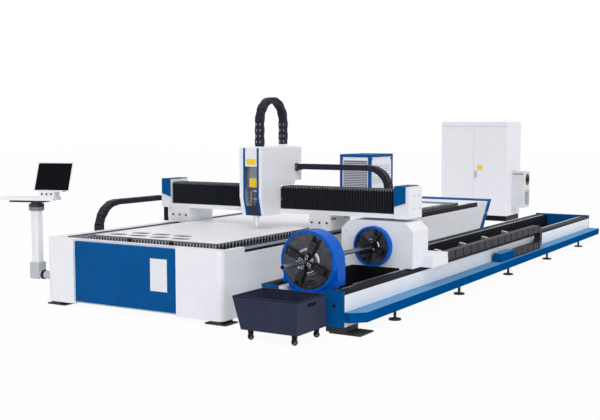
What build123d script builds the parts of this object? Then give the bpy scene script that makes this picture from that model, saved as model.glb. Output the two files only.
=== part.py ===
"""Sheet and tube laser cutting machine: flat bed with gantry, tube unit with two chucks,
operator console, water chiller, electric cabinet and scrap cart.

Millimetres, +Z up. The origin is on the floor, at the middle of the whole footprint.
X runs across the bed, Y from the operator's end to the cabinet.
"""

import os
from math import atan2, cos, degrees, pi, radians, sin

from build123d import *

# Clearances that every unit shares
seat_gap = 0.3
running_gap = 0.05
overrun = 20.0

# Flat bed, a welded trough with a raked rear wall
bed_width = 2120.0
bed_length = 6723.0
bed_height = 670.0
bed_underside = 40.0
rear_rake = 520.0
bed_left_beam = 390.0
bed_right_beam = 165.0
bed_front_wall = 110.0
bed_rear_wall = 90.0
bed_corner_radius = 60.0
left_lip_width = 180.0
right_lip_width = 48.0
rail_seat_height = 620.0
front_block_length = 360.0
rear_block_length = 423.0
cross_member_height = 100.0
cross_member_width = 80.0
cross_member_bottom = 330.0
cross_member_count = 3

# Panels on the bed's two ends
front_panel_left = 355.0
front_panel_width = 1255.0
front_panel_thickness = 40.0
front_panel_setback = 22.0
front_panel_margin = 20.0
front_panel_edge = 3.0
rear_panel_thickness = 150.0
rear_panel_rise = 22.0

# Slat table and the sheet that lies on it
slat_count = 40
slat_teeth = 10
slat_thickness = 6.0
slat_bottom = 600.0
slat_top = 695.0
slat_tooth_depth = 32.0
slat_side_gap = 6.0
slat_front_margin = 120.0
slat_rear_margin = 183.0
carrier_width = 60.0
carrier_height = 45.0
clamp_length = 90.0
clamp_width = 34.0
clamp_height = 70.0
clamp_shares = (0.36, 0.68)
sheet_thickness = 6.0
sheet_side_margin = 45.0
sheet_front_margin = 120.0
sheet_length = 5300.0
cutout_width = 215.0
cutout_depth = 120.0
cutout_column_pitch = 260.0
cutout_row_pitch = 190.0
cutout_first_x = 170.0
cutout_first_y = 140.0

# Linear rails of the gantry and of the tube unit
rail_width = 40.0
rail_height = 35.0
left_rail_offset = 260.0
right_rail_offset = 2050.0
rail_end_margin = 260.0
slider_width = 100.0
slider_length = 130.0
slider_wall = 35.0
rail_cover_width = 18.0
rail_cover_height = 60.0

# Gantry, measured from the bed's front to the crests of its bellows
gantry_place = 1771.0
beam_bottom = 852.0
beam_top = 1112.0
beam_depth = 215.0
beam_setback = 62.0
ledge_height = 44.0
ledge_overhang = 2.0
left_cover_offset = 40.0
left_cover_width = 130.0
right_cover_offset = 2953.0
right_cover_width = 155.0
cover_top = 1168.0
cover_overhang = 24.0
cover_depth = 322.0
cover_edge = 14.0
end_panel_width = 122.0
end_panel_thickness = 8.0
end_panel_inner_drop = 196.0
end_panel_outer_drop = 158.0
foot_depth = 450.0
left_foot_offset = 116.0
left_foot_width = 288.0
right_foot_offset = 1974.0
right_foot_width = 243.0
foot_bottom = 690.0
foot_edge = 20.0
motor_width = 110.0
motor_length = 190.0
gearbox_length = 90.0
beam_rail_width = 24.0
beam_rail_height = 25.0
beam_rail_shares = (0.34, 0.8)

# Pleated covers on the beam
pleat_pitch = 37.0
pleat_depth = 20.0
pleat_rise = 14.0
bellows_bottom = 902.0
bellows_top = 1138.0
bellows_thickness = 26.0
bellows_top_depth = 210.0

# Head cover and the carriage behind it
head_place = 1353.0
head_width = 273.0
head_overhang = 371.0
head_depth = 790.0
head_bottom = 840.0
head_top = 1552.0
head_step = 1184.0
head_rake_height = 190.0
head_rake = 50.0
head_wall = 12.0
head_edge = 10.0
head_window_width = 160.0
head_window_top = 1350.0
head_rear_gap = 6.0
carriage_thickness = 24.0
carriage_side_gap = 8.0
carriage_bottom = 905.0
carriage_top = 1500.0
carriage_arm_thickness = 12.0
carriage_slider_length = 80.0
carriage_slider_height = 74.0
z_rail_width = 20.0
z_rail_height = 18.0
z_rail_spacing = 120.0
guard_height = 100.0
guard_thickness = 16.0

# Height slide and cutting head
z_plate_width = 168.0
z_plate_thickness = 22.0
z_plate_bottom = 935.0
z_plate_height = 380.0
z_slider_height = 60.0
z_slider_width = 44.0
nozzle_setback = 108.0
nozzle_gap = 10.0
nozzle_tip_radius = 5.0
nozzle_radius = 16.0
nozzle_height = 34.0
sensor_radius = 26.0
sensor_height = 70.0
neck_radius = 34.0
neck_height = 90.0
optics_radius = 46.0
optics_height = 230.0
collimator_radius = 34.0
collimator_height = 90.0
clamp_block_width = 110.0
clamp_block_height = 120.0

# Cable chains: pitch, section and links per half turn
x_link_pitch = 70.0
x_link_height = 58.0
x_link_width = 100.0
x_bend_links = 10
x_upper_links = 12
x_lower_links = 12
x_chain_height = 1331.0
x_chain_reach = 2497.0
x_chain_clearance = 15.0
y_link_pitch = 95.0
y_link_height = 56.0
y_link_width = 90.0
y_bend_links = 9
y_upper_links = 8
y_lower_links = 23
y_chain_height = 947.0
y_chain_reach = 1080.0
y_chain_clearance = 6.0
z_link_pitch = 60.0
z_link_height = 56.0
z_link_width = 86.0
z_bend_links = 12
z_front_links = 8
z_rear_links = 4
z_chain_centre = 1813.0
z_chain_setback = 175.0
feed_link_pitch = 110.0
feed_link_height = 84.0
feed_link_width = 90.0
feed_bend_links = 3
feed_upper_links = 28
feed_lower_links = 9
feed_chain_reach = 5310.0
link_slope_share = 0.26
link_gap = 0.4
chain_tray_thickness = 8.0
chain_tray_lip = 50.0

# Tube unit: two beams side by side with a trough between them
tube_unit_offset = 2370.0
tube_unit_place = 254.0
tube_bed_length = 8054.0
tube_bed_width = 837.0
tube_beam_width = 182.0
tube_beam_top = 340.0
tube_bed_underside = 64.0
tube_rail_width = 30.0
tube_rail_height = 30.0
tube_cover_height = 31.0
tube_cover_gap = 18.0
trough_floor_thickness = 12.0
trough_liner = 5.0
chuck_seat_length = 400.0
chuck_seat_thickness = 44.0
chuck_seat_top = 300.0
end_plate_thickness = 20.0
end_plate_rise = 50.0
tie_count = 4
tie_width = 90.0
tie_bottom = 150.0
support_count = 4
support_first = 3500.0
support_pitch = 780.0
support_length = 300.0
support_width = 60.0
support_height = 40.0
support_post = 44.0
flange_width = 157.0
flange_bottom = 140.0
flange_thickness = 53.0
flange_corner = 110.0
chain_bracket_length = 480.0
chain_bracket_height = 100.0
chain_bracket_edge = 20.0

# Feet: flat pads under the bed and levelling feet under the tube unit
pad_width = 230.0
pad_depth = 190.0
pad_overhang = 24.0
pad_foot_height = 14.0
pad_rows = 3
leveller_front_inset = 811.0
leveller_rear_inset = 935.0
leveller_count = 5
leveller_outset = 85.0
leveller_radius = 58.0
leveller_thickness = 14.0
leveller_stud_radius = 14.0
tube_pad_width = 300.0
tube_pad_depth = 250.0

# Chucks on one axis above the trough
chuck_axis_height = 585.0
drum_face_place = 344.0
drum_radius = 274.0
drum_depth = 190.0
drum_wall = 24.0
drum_rim_edge = 6.0
drum_foot_width = 360.0
drum_foot_length = 230.0
drum_web_height = 80.0
drum_web_width = 456.0
drum_web_share = 0.75
front_face_setback = 6.0
front_face_thickness = 70.0
front_bore_radius = 62.0
front_jaw_width = 52.0
front_jaw_length = 178.0
front_jaw_rise = 26.0
front_tip_width = 26.0
front_tip_length = 46.0
front_tip_rise = 52.0
rear_face_place = 1622.0
rear_rim_radius = 200.0
rear_rim_depth = 70.0
rear_rim_wall = 20.0
rear_rim_edge = 6.0
rear_face_thickness = 40.0
rear_spindle_radius = 70.0
rear_spindle_length = 220.0
rear_bore_radius = 48.0
rear_jaw_width = 46.0
rear_jaw_length = 110.0
rear_jaw_rise = 24.0
rear_finger_width = 34.0
rear_finger_length = 250.0
rear_short_finger = 60.0
jaw_step_share = 0.55
jaw_key_depth = 14.0
jaw_count = 4
jaw_turn = 65.0
tube_radius = 22.0
tube_wall = 3.0
tube_front_place = -63.0
tube_tail = 347.0

# Headstock housing that carries the rear chuck
headstock_place = 1650.0
headstock_depth = 370.0
headstock_top = 825.0
headstock_left = 50.0
headstock_right = 7.0
headstock_corner = 78.0
headstock_floor_gap = 12.0
chain_box_height = 116.0

# Operator console on the bed's left wall
post_offset = 250.0
post_place = 120.0
post_width = 88.0
post_corner = 18.0
post_top = 985.0
elbow_width = 122.0
elbow_bottom = 225.0
elbow_top = 392.0
stub_radius = 40.0
stub_ring_radius = 47.0
stub_ring_length = 36.0
stub_height = 270.0
collar_width = 116.0
collar_height = 70.0
console_yaw = 18.0
tray_width = 600.0
tray_depth = 240.0
tray_shift = 71.5
tray_thickness = 26.0
tray_corner = 40.0
tray_plate_share = 0.62
tray_plate_height = 22.0
tray_hub_radius = 56.0
tray_hub_height = 16.0
monitor_width = 400.0
monitor_height = 320.0
monitor_depth = 92.0
monitor_lean = 22.0
monitor_shift = 216.5
screen_shift = 40.0
monitor_back_share = 0.72
monitor_base_width = 160.0
monitor_base_height = 76.0
monitor_base_depth = 120.0
screen_margin = 16.0
screen_recess = 3.0
button_radius = 9.0
button_length = 14.0
button_socket = 10.0
button_edge = 1.0
button_pitch = 50.0
button_count = 3

# Chiller behind the bed's left side
chiller_right = 50.0
chiller_distance = 277.0
chiller_width = 560.0
chiller_depth = 830.0
chiller_height = 1320.0
chiller_post = 46.0
chiller_foot = 60.0
chiller_inset = 8.0
louvre_count = 12
louvre_pitch = 46.0
louvre_height = 20.0
louvre_depth = 10.0
louvre_margin = 50.0
louvre_drop = 130.0

# Electric cabinet, furthest back, with a cooler on its right side
cabinet_left = 180.0
cabinet_distance = 3777.0
cabinet_width = 1300.0
cabinet_depth = 800.0
cabinet_height = 1860.0
cabinet_wall = 20.0
plinth_height = 100.0
plinth_inset = 16.0
plinth_slot_height = 30.0
plinth_slot_width = 90.0
plinth_slot_pitch = 140.0
plinth_slots = 8
door_thickness = 26.0
door_gap = 3.0
door_header = 84.0
door_sill = 24.0
door_side = 22.0
eye_radius = 22.0
eye_wire = 6.0
eye_inset = 50.0
handle_width = 30.0
handle_length = 130.0
handle_rise = 22.0
handle_height = 880.0
handle_inset = 50.0
mounting_plate = 16.0
drive_count = 4
drive_width = 150.0
drive_height = 300.0
drive_depth = 120.0
drive_pitch = 240.0
drive_bottom = 1150.0
laser_width = 620.0
laser_height = 260.0
laser_depth = 560.0
laser_bottom = 420.0
laser_fin_count = 8
laser_fin_depth = 20.0
laser_fin_width = 16.0
laser_ear = 24.0
laser_ear_thickness = 12.0
cooler_width = 260.0
cooler_depth = 300.0
cooler_bottom = 250.0
cooler_height = 680.0
cooler_place = 260.0
cooler_edge = 12.0
fan_radius = 105.0
fan_hub_radius = 36.0
fan_recess = 24.0
fan_drop = 150.0
fan_blades = 6
fan_blade_width = 24.0
grille_slots = 7
grille_pitch = 34.0
grille_slot = 16.0
grille_drop = 360.0

# Scrap cart in front of the chuck
cart_lead = 360.0
cart_depth = 470.0
cart_left = 2482.0
cart_width = 628.0
cart_slope = 86.0
cart_top = 363.0
cart_bottom = 92.0
cart_wall = 8.0
hand_slot_width = 150.0
hand_slot_height = 34.0
hand_slot_drop = 50.0
caster_radius = 34.0
caster_width = 24.0
caster_plate = 64.0
caster_plate_thickness = 8.0
caster_inset = 60.0
fork_thickness = 5.0
axle_radius = 6.0

# Reach of the whole machine from the bed's front left corner
tray_half_width = tray_width / 2 - tray_corner
tray_half_depth = tray_depth / 2 - tray_corner
tray_across = (tray_shift + tray_half_width) * cos(radians(console_yaw))
left_reach = post_offset + tray_across + tray_half_depth * sin(radians(console_yaw)) + tray_corner
right_reach = tube_unit_offset + tube_bed_width + flange_width
back_reach = bed_length + cabinet_distance + cabinet_depth

# Bed faces
bed_left = (left_reach - right_reach) / 2
bed_right = bed_left + bed_width
bed_front = (cart_lead - back_reach) / 2
bed_back = bed_front + bed_length
well_left = bed_left + bed_left_beam
well_right = bed_right - bed_right_beam
table_front = bed_front + bed_front_wall

# Gantry faces
gantry_front = bed_front + gantry_place
beam_front = gantry_front + beam_setback
beam_back = beam_front + beam_depth
beam_left = bed_left + left_cover_offset + left_cover_width
beam_right = bed_left + right_cover_offset
cover_front = gantry_front - cover_overhang
head_left = bed_left + head_place
head_right = head_left + head_width
head_middle = head_left + head_width / 2
head_front = gantry_front - head_overhang
head_back = head_front + head_depth
head_lower_back = gantry_front - head_rear_gap
carriage_front = head_lower_back - carriage_thickness
nozzle_y = head_front + nozzle_setback

# Tube unit faces
tube_left = bed_left + tube_unit_offset
tube_right = tube_left + tube_bed_width
tube_front = bed_front + tube_unit_place
tube_back = tube_front + tube_bed_length
trough_left = tube_left + tube_beam_width
trough_right = tube_right - tube_beam_width
left_tube_rail = tube_left + tube_beam_width * 2 / 3
right_tube_rail = tube_right - tube_beam_width * 2 / 3
tube_rail_top = tube_beam_top + tube_rail_height
axis_x = (tube_left + tube_right) / 2
headstock_front = bed_front + headstock_place
headstock_back = headstock_front + headstock_depth
headstock_bottom = tube_beam_top + tube_cover_height + headstock_floor_gap
flange_top = flange_bottom + flange_thickness
sheet_top = slat_top + sheet_thickness

CORNER = (Align.MIN, Align.MIN, Align.MIN)
STANDING = (Align.CENTER, Align.CENTER, Align.MIN)


def block(x, y, z, mode=Mode.ADD):
    """A box between three pairs of faces, added to the part that is open."""
    with Locations((x[0], y[0], z[0])):
        Box(x[1] - x[0], y[1] - y[0], z[1] - z[0], align=CORNER, mode=mode)


def upright(y):
    """A plane across the machine at y, with X to the right and Z up; it faces the operator."""
    return Plane.XZ.offset(-y)


def lengthwise(x):
    """A plane along the machine at x, with Y to the right and Z up; it faces +X."""
    return Plane.YZ.offset(x)


def outline(*points):
    """A closed straight-sided face in the sketch that is open."""
    with BuildLine() as edge:
        Polyline(*points, close=True)
    make_face(edge.line)


def save(piece, label):
    """Label a finished piece and write it as a file of its own."""
    piece.part.label = label
    export_step(piece.part, f"parts/{label}.step")


def bend_radius(pitch, links):
    """Radius through the pivots of a chain that turns half round in a number of links."""
    return pitch / (2 * sin(pi / (2 * links)))


def chain_pivots(pitch, straight_in, bend, straight_out):
    """Pivot points of a U-shaped chain, from the end of its first run to the end of its last.

    The runs point along -u, the bend's centre is the origin and the first run lies at +v.
    """
    radius = bend_radius(pitch, bend)
    run_in = [(-pitch * i, radius) for i in range(straight_in, 0, -1)]
    turn = [(radius * sin(pi * i / bend), radius * cos(pi * i / bend)) for i in range(bend + 1)]
    run_out = [(-pitch * i, -radius) for i in range(1, straight_out + 1)]
    return run_in + turn + run_out


def chain(plane, pivots, pitch, height, width):
    """Hexagonal links between pivots, drawn on the chain's own plane, as one part."""
    half = (pitch - link_gap) / 2
    slope = pitch * link_slope_share
    shoulders = [(half - slope, height / 2), (slope - half, height / 2), (-half, 0)]
    link = shoulders + [(-u, -v) for u, v in shoulders]
    with BuildPart() as links:
        with BuildSketch(plane):
            for (u0, v0), (u1, v1) in zip(pivots, pivots[1:]):
                with Locations(((u0 + u1) / 2, (v0 + v1) / 2)):
                    Polygon(*link, rotation=degrees(atan2(v1 - v0, u1 - u0)), align=None)
        extrude(amount=width / 2, both=True)
    return links


def pleats(start, end, crest, depth):
    """Zigzag points along a run of whole folds; crest is the outer level, depth the fold."""
    folds = max(1, round((end - start) / pleat_pitch))
    pitch = (end - start) / folds
    points = []
    for i in range(folds):
        points.append((start + pitch * i, crest - depth))
        points.append((start + pitch * (i + 1 / 2), crest))
    return points + [(end, crest - depth)]


def bellows(start, end):
    """A pleated cover over the beam's front and top between two x positions."""
    back = gantry_front + bellows_top_depth
    with BuildPart() as cover:
        with BuildSketch(Plane.XY.offset(bellows_bottom)):
            folds = [(x, -y) for x, y in pleats(start, end, -gantry_front, pleat_depth)]
            outline(*folds, (end, back), (start, back))
        extrude(amount=bellows_top + pleat_rise - bellows_bottom)
        with BuildSketch(upright(back)):
            folds = pleats(start, end, bellows_top, pleat_rise)
            outline(*folds, (end, bellows_bottom), (start, bellows_bottom))
        extrude(amount=bellows_top_depth + overrun, mode=Mode.INTERSECT)
        block(
            (start - overrun, end + overrun),
            (gantry_front + bellows_thickness, back + overrun),
            (bellows_bottom - overrun, beam_top + seat_gap),
            mode=Mode.SUBTRACT,
        )
    return cover


def slider(rail_x, middle_y):
    """A bearing block that straddles a bed rail, open underneath for the rail."""
    half_rail = rail_width / 2 + seat_gap
    rail_top = rail_seat_height + rail_height + seat_gap
    half_length = slider_length / 2
    block(
        (rail_x - slider_width / 2, rail_x + slider_width / 2),
        (middle_y - half_length, middle_y + half_length),
        (rail_top - slider_wall / 2, foot_bottom),
    )
    block(
        (rail_x - half_rail, rail_x + half_rail),
        (middle_y - half_length - overrun, middle_y + half_length + overrun),
        (rail_top - slider_wall, rail_top),
        mode=Mode.SUBTRACT,
    )


def radial_plane(y, angle):
    """A plane on the chuck axis at y, whose x direction is the jaw's way out at the angle."""
    out = (cos(radians(angle)), 0, sin(radians(angle)))
    return Plane(origin=(axis_x, y, chuck_axis_height), x_dir=out, z_dir=(0, -1, 0))


os.makedirs("parts", exist_ok=True)

# Bed weldment: one profile along the machine, opened to a well, with steps for the rails
with BuildPart() as bed_frame:
    with BuildSketch(lengthwise(bed_left)):
        outline(
            (bed_front, bed_underside),
            (bed_front, bed_height),
            (bed_back, bed_height),
            (bed_back - rear_rake, bed_underside),
        )
    extrude(amount=bed_width)
    fillet(bed_frame.edges().filter_by(Axis.Z).group_by(Axis.Y)[0], bed_corner_radius)
    with BuildSketch(lengthwise(well_left)):
        outline(
            (table_front, bed_underside),
            (table_front, bed_height),
            (bed_back - bed_rear_wall, bed_height),
            (bed_back - rear_rake - bed_rear_wall, bed_underside),
        )
    extrude(amount=well_right - well_left, mode=Mode.SUBTRACT)
    step_back = bed_back - rear_block_length
    step_height = (rail_seat_height, bed_height + overrun)
    left_step = (bed_left + left_lip_width, well_left + overrun)
    right_step = (well_right - overrun, bed_right - right_lip_width)
    outer_step = (bed_right - right_lip_width, bed_right + overrun)
    block(left_step, (table_front, step_back), step_height, mode=Mode.SUBTRACT)
    block(right_step, (table_front, step_back), step_height, mode=Mode.SUBTRACT)
    outer_run = (bed_front + front_block_length, step_back)
    block(outer_step, outer_run, step_height, mode=Mode.SUBTRACT)
    recess_left = bed_left + front_panel_left
    recess = (recess_left, recess_left + front_panel_width)
    recess_depth = front_panel_setback + front_panel_thickness
    recess_height = (bed_underside - overrun, bed_height + overrun)
    recess_run = (bed_front - overrun, bed_front + recess_depth)
    block(recess, recess_run, recess_height, mode=Mode.SUBTRACT)
    member_pitch = (bed_length - rear_rake) / (cross_member_count + 1)
    member_z = (cross_member_bottom, cross_member_bottom + cross_member_height)
    for i in range(cross_member_count):
        member_y = bed_front + member_pitch * (i + 1)
        block((well_left, well_right), (member_y, member_y + cross_member_width), member_z)
    # Shelf on the outside of the left wall for the lower run of the gantry's cable chain
    y_radius = bend_radius(y_link_pitch, y_bend_links)
    shelf_top = y_chain_height - 2 * y_radius - y_link_height / 2 - seat_gap
    shelf_left = bed_left - y_chain_clearance - y_link_width - chain_tray_thickness
    shelf_front = bed_front + y_chain_reach
    shelf_run = (shelf_front, shelf_front + y_link_pitch * (y_lower_links + 1))
    block((shelf_left, bed_left), shelf_run, (shelf_top - chain_tray_thickness, shelf_top))
    lip_x = (shelf_left, shelf_left + chain_tray_thickness - seat_gap)
    block(lip_x, shelf_run, (shelf_top - chain_tray_thickness, shelf_top + chain_tray_lip))
save(bed_frame, "bed_frame")

with BuildPart() as front_panel:
    panel_front = bed_front + front_panel_setback
    with BuildSketch(upright(panel_front + front_panel_thickness)):
        panel_top = bed_height - front_panel_margin
        panel_low = bed_underside + front_panel_margin
        with Locations(((recess[0] + recess[1]) / 2, (panel_low + panel_top) / 2)):
            Rectangle(front_panel_width, panel_top - panel_low)
    extrude(amount=front_panel_thickness)
    chamfer(front_panel.faces().sort_by(Axis.Y)[0].edges(), front_panel_edge)
save(front_panel, "front_panel")

with BuildPart() as rear_panel:
    with BuildSketch(lengthwise(bed_left)):
        rise = rear_panel_rise
        lean = rear_rake * rise / (bed_height - bed_underside)
        outline(
            (bed_back - rear_rake, bed_underside),
            (bed_back + lean, bed_height + rise),
            (bed_back + lean + rear_panel_thickness, bed_height + rise),
            (bed_back - rear_rake + rear_panel_thickness, bed_underside),
        )
    extrude(amount=bed_width)
save(rear_panel, "rear_panel")

# Slat table: two carriers along the well, front clamps, and toothed slats across them
with BuildPart() as table_frame:
    carrier_run = (table_front, bed_back - rear_rake)
    carrier_z = (slat_bottom - carrier_height, slat_bottom)
    block((well_left, well_left + carrier_width), carrier_run, carrier_z)
    block((well_right - carrier_width, well_right), carrier_run, carrier_z)
    front_bar = (table_front, table_front + carrier_width)
    block((well_left, well_right), front_bar, carrier_z)
    for share in clamp_shares:
        clamp_x = well_left + (well_right - well_left) * share
        clamp_run = (table_front + slat_side_gap, table_front + slat_side_gap + clamp_width)
        clamp_z = (slat_bottom, slat_bottom + clamp_height)
        block((clamp_x, clamp_x + clamp_length), clamp_run, clamp_z)
save(table_frame, "table_frame")

slat_left = well_left + slat_side_gap
slat_right = well_right - slat_side_gap
slat_start = bed_front + slat_front_margin + clamp_width
slat_end = bed_back - rear_rake - slat_rear_margin
slat_pitch = (slat_end - slat_start) / (slat_count - 1)
slat_places = [slat_start + slat_pitch * i for i in range(slat_count)]
with BuildPart() as slats:
    with BuildSketch(*[upright(y + slat_thickness) for y in slat_places]):
        tooth = (slat_right - slat_left) / slat_teeth
        teeth = []
        for i in range(slat_teeth):
            teeth.append((slat_left + tooth * i, slat_top - slat_tooth_depth))
            teeth.append((slat_left + tooth * (i + 1 / 2), slat_top))
        Polygon(
            (slat_left, slat_bottom),
            *teeth,
            (slat_right, slat_top - slat_tooth_depth),
            (slat_right, slat_bottom),
            align=None,
        )
    extrude(amount=slat_thickness)
save(slats, "slats")

# Steel sheet on the teeth, with a few parts already cut out near its front edge
sheet_left = well_left + sheet_side_margin
sheet_right = well_right - sheet_side_margin
sheet_front = table_front + sheet_front_margin
with BuildPart() as sheet_blank:
    with BuildSketch(Plane.XY.offset(slat_top)):
        with Locations((sheet_left, sheet_front)):
            Rectangle(sheet_right - sheet_left, sheet_length, align=(Align.MIN, Align.MIN))
        first_row = [(cutout_column_pitch * i, 0) for i in range(4)]
        second_row = [(cutout_column_pitch * (i + 1 / 2), cutout_row_pitch) for i in range(3)]
        corner_x = sheet_left + cutout_first_x
        corner_y = sheet_front + cutout_first_y
        with Locations(*[(corner_x + x, corner_y + y) for x, y in first_row + second_row]):
            SlotOverall(cutout_width, cutout_depth, mode=Mode.SUBTRACT)
    extrude(amount=sheet_thickness)
save(sheet_blank, "sheet_blank")

# Ground rails of the gantry and of the tube unit
with BuildPart() as linear_rails:
    rail_run = (bed_front + rail_end_margin, bed_back - rear_block_length)
    for offset in (left_rail_offset, right_rail_offset):
        rail_x = bed_left + offset
        rail_sides = (rail_x - rail_width / 2, rail_x + rail_width / 2)
        block(rail_sides, rail_run, (rail_seat_height, rail_seat_height + rail_height))
    tube_rail_run = (tube_front + chuck_seat_length, tube_back - end_plate_thickness)
    for rail_x in (left_tube_rail, right_tube_rail):
        rail_sides = (rail_x - tube_rail_width / 2, rail_x + tube_rail_width / 2)
        block(rail_sides, tube_rail_run, (tube_beam_top, tube_rail_top))
save(linear_rails, "linear_rails")

# Black sheet covers beside the rails, and the liner of the tube unit's trough
with BuildPart() as rail_covers:
    cover_run = (bed_front + front_block_length, bed_back - rear_block_length)
    cover_z = (rail_seat_height, rail_seat_height + rail_cover_height)
    block((bed_right - rail_cover_width, bed_right), cover_run, cover_z)
    left_cover_x = bed_left + left_lip_width
    left_cover_run = (table_front, bed_back - rear_block_length)
    block((left_cover_x, left_cover_x + rail_cover_width / 2), left_cover_run, cover_z)
    strip_run = (tube_front, tube_back - end_plate_thickness)
    strip_z = (tube_beam_top, tube_beam_top + tube_cover_height)
    left_gap = left_tube_rail - tube_rail_width / 2 - tube_cover_gap
    right_gap = right_tube_rail + tube_rail_width / 2 + tube_cover_gap
    block((tube_left, left_gap), strip_run, strip_z)
    block((right_gap, tube_right), strip_run, strip_z)
    liner_top = tube_beam_top
    liner_floor = tube_bed_underside + trough_floor_thickness
    liner_front = tube_front + chuck_seat_length
    with BuildSketch(upright(tube_back - end_plate_thickness)):
        outline(
            (trough_left, liner_top),
            (trough_left, liner_floor),
            (trough_right, liner_floor),
            (trough_right, liner_top),
            (trough_right - trough_liner, liner_top),
            (trough_right - trough_liner, liner_floor + trough_liner),
            (trough_left + trough_liner, liner_floor + trough_liner),
            (trough_left + trough_liner, liner_top),
        )
    extrude(amount=tube_back - end_plate_thickness - liner_front)
save(rail_covers, "rail_covers")

# Tube unit's bed: two beams, a floor between them and a seat for the front chuck
with BuildPart() as tube_bed:
    beam_run = (tube_front, tube_back - end_plate_thickness)
    beam_z = (tube_bed_underside, tube_beam_top)
    block((tube_left, trough_left), beam_run, beam_z)
    block((trough_right, tube_right), beam_run, beam_z)
    floor_z = (tube_bed_underside, tube_bed_underside + trough_floor_thickness)
    block((trough_left, trough_right), beam_run, floor_z)
    seat_run = (tube_front, tube_front + chuck_seat_length)
    seat_z = (chuck_seat_top - chuck_seat_thickness, chuck_seat_top)
    block((trough_left, trough_right), seat_run, seat_z)
    # Ties from the left beam to the flat bed's right wall
    tie_pitch = (bed_length - rear_rake - tube_unit_place) / (tie_count + 1)
    for i in range(tie_count):
        tie_y = tube_front + tie_pitch * (i + 1)
        tie_z = (tie_bottom, tie_bottom + tie_width)
        block((bed_right + seat_gap, tube_left), (tie_y, tie_y + tie_width), tie_z)
save(tube_bed, "tube_bed")

with BuildPart() as tube_bed_end_plates:
    plate_z = (tube_bed_underside, tube_beam_top + tube_cover_height)
    front_run = (tube_front - end_plate_thickness, tube_front)
    block((tube_left + end_plate_thickness, trough_left), front_run, plate_z)
    block((trough_right, tube_right), front_run, plate_z)
    rear_z = (tube_bed_underside, tube_beam_top + end_plate_rise)
    block((tube_left, tube_right), (tube_back - end_plate_thickness, tube_back), rear_z)
save(tube_bed_end_plates, "tube_bed_end_plates")

# Flange along the tube unit's right side, which carries the feed chain and its bracket
feed_x = tube_right + flange_width / 2
feed_radius = bend_radius(feed_link_pitch, feed_bend_links)
feed_low = flange_top + seat_gap + feed_link_height / 2
feed_bend_y = bed_front + feed_chain_reach
bracket_back = feed_bend_y - feed_link_pitch * feed_lower_links - seat_gap
with BuildPart() as tube_bed_flange:
    with BuildSketch(Plane.XY.offset(flange_bottom)):
        outline(
            (tube_right, tube_front),
            (tube_right + flange_width - flange_corner, tube_front),
            (tube_right + flange_width, tube_front + flange_corner),
            (tube_right + flange_width, tube_back),
            (tube_right, tube_back),
        )
    extrude(amount=flange_thickness)
    with BuildSketch(lengthwise(feed_x)):
        bracket_front = bracket_back - chain_bracket_length
        bracket_top = flange_top + chain_bracket_height
        outline(
            (bracket_front, flange_top),
            (bracket_front, bracket_top - chain_bracket_edge),
            (bracket_front + chain_bracket_edge, bracket_top),
            (bracket_back, bracket_top),
            (bracket_back, flange_top),
        )
    extrude(amount=feed_link_width / 2, both=True)
save(tube_bed_flange, "tube_bed_flange")

# Tube supports that stand in the trough behind the headstock
with BuildPart() as tube_supports:
    support_floor = liner_floor + trough_liner
    support_low = tube_beam_top - support_height
    for i in range(support_count):
        support_y = bed_front + support_first + support_pitch * i
        run = (support_y, support_y + support_width)
        post = (axis_x - support_post / 2, axis_x + support_post / 2)
        block(post, run, (support_floor, support_low))
        with BuildSketch(upright(support_y + support_width)):
            outline(
                (axis_x - support_length / 2, tube_beam_top),
                (axis_x - support_length / 2, support_low),
                (axis_x + support_length / 2, support_low),
                (axis_x + support_length / 2, tube_beam_top),
                (axis_x, support_low + support_height / 4),
            )
        extrude(amount=support_width)
save(tube_supports, "tube_supports")

# Feet: flat pads under the bed and the tube unit's front, levellers under its beams
with BuildPart() as feet:
    pad_pitch = (bed_length - rear_rake - pad_depth) / (pad_rows - 1)
    for i in range(pad_rows):
        pad_y = bed_front + pad_overhang + pad_pitch * i - pad_overhang * (i > 0)
        for pad_x in (bed_left - pad_overhang, bed_right + pad_overhang - pad_width):
            pad_run = (pad_y, pad_y + pad_depth)
            block((pad_x, pad_x + pad_width), pad_run, (0, pad_foot_height))
            neck_x = (pad_x + pad_width / 4, pad_x + pad_width * 3 / 4)
            block(neck_x, pad_run, (pad_foot_height, bed_underside))
    tube_pad_x = (tube_right - tube_pad_width / 2, tube_right + tube_pad_width / 2)
    tube_pad_run = (tube_front, tube_front + tube_pad_depth)
    block(tube_pad_x, tube_pad_run, (0, pad_foot_height))
    neck = (trough_right, tube_right)
    block(neck, tube_pad_run, (pad_foot_height, tube_bed_underside))
    leveller_run = tube_bed_length - leveller_front_inset - leveller_rear_inset
    leveller_pitch = leveller_run / (leveller_count - 1)
    leveller_start = tube_front + leveller_front_inset
    leveller_places = [leveller_start + leveller_pitch * i for i in range(leveller_count)]
    left_studs = (tube_left + tube_beam_width / 2, tube_bed_underside)
    right_studs = (tube_right + leveller_outset, flange_bottom)
    for stud_x, stud_height in (left_studs, right_studs):
        with Locations(*[(stud_x, y) for y in leveller_places]):
            Cylinder(leveller_radius, leveller_thickness, align=STANDING)
            Cylinder(leveller_stud_radius, stud_height, align=STANDING)
save(feet, "feet")

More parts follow.
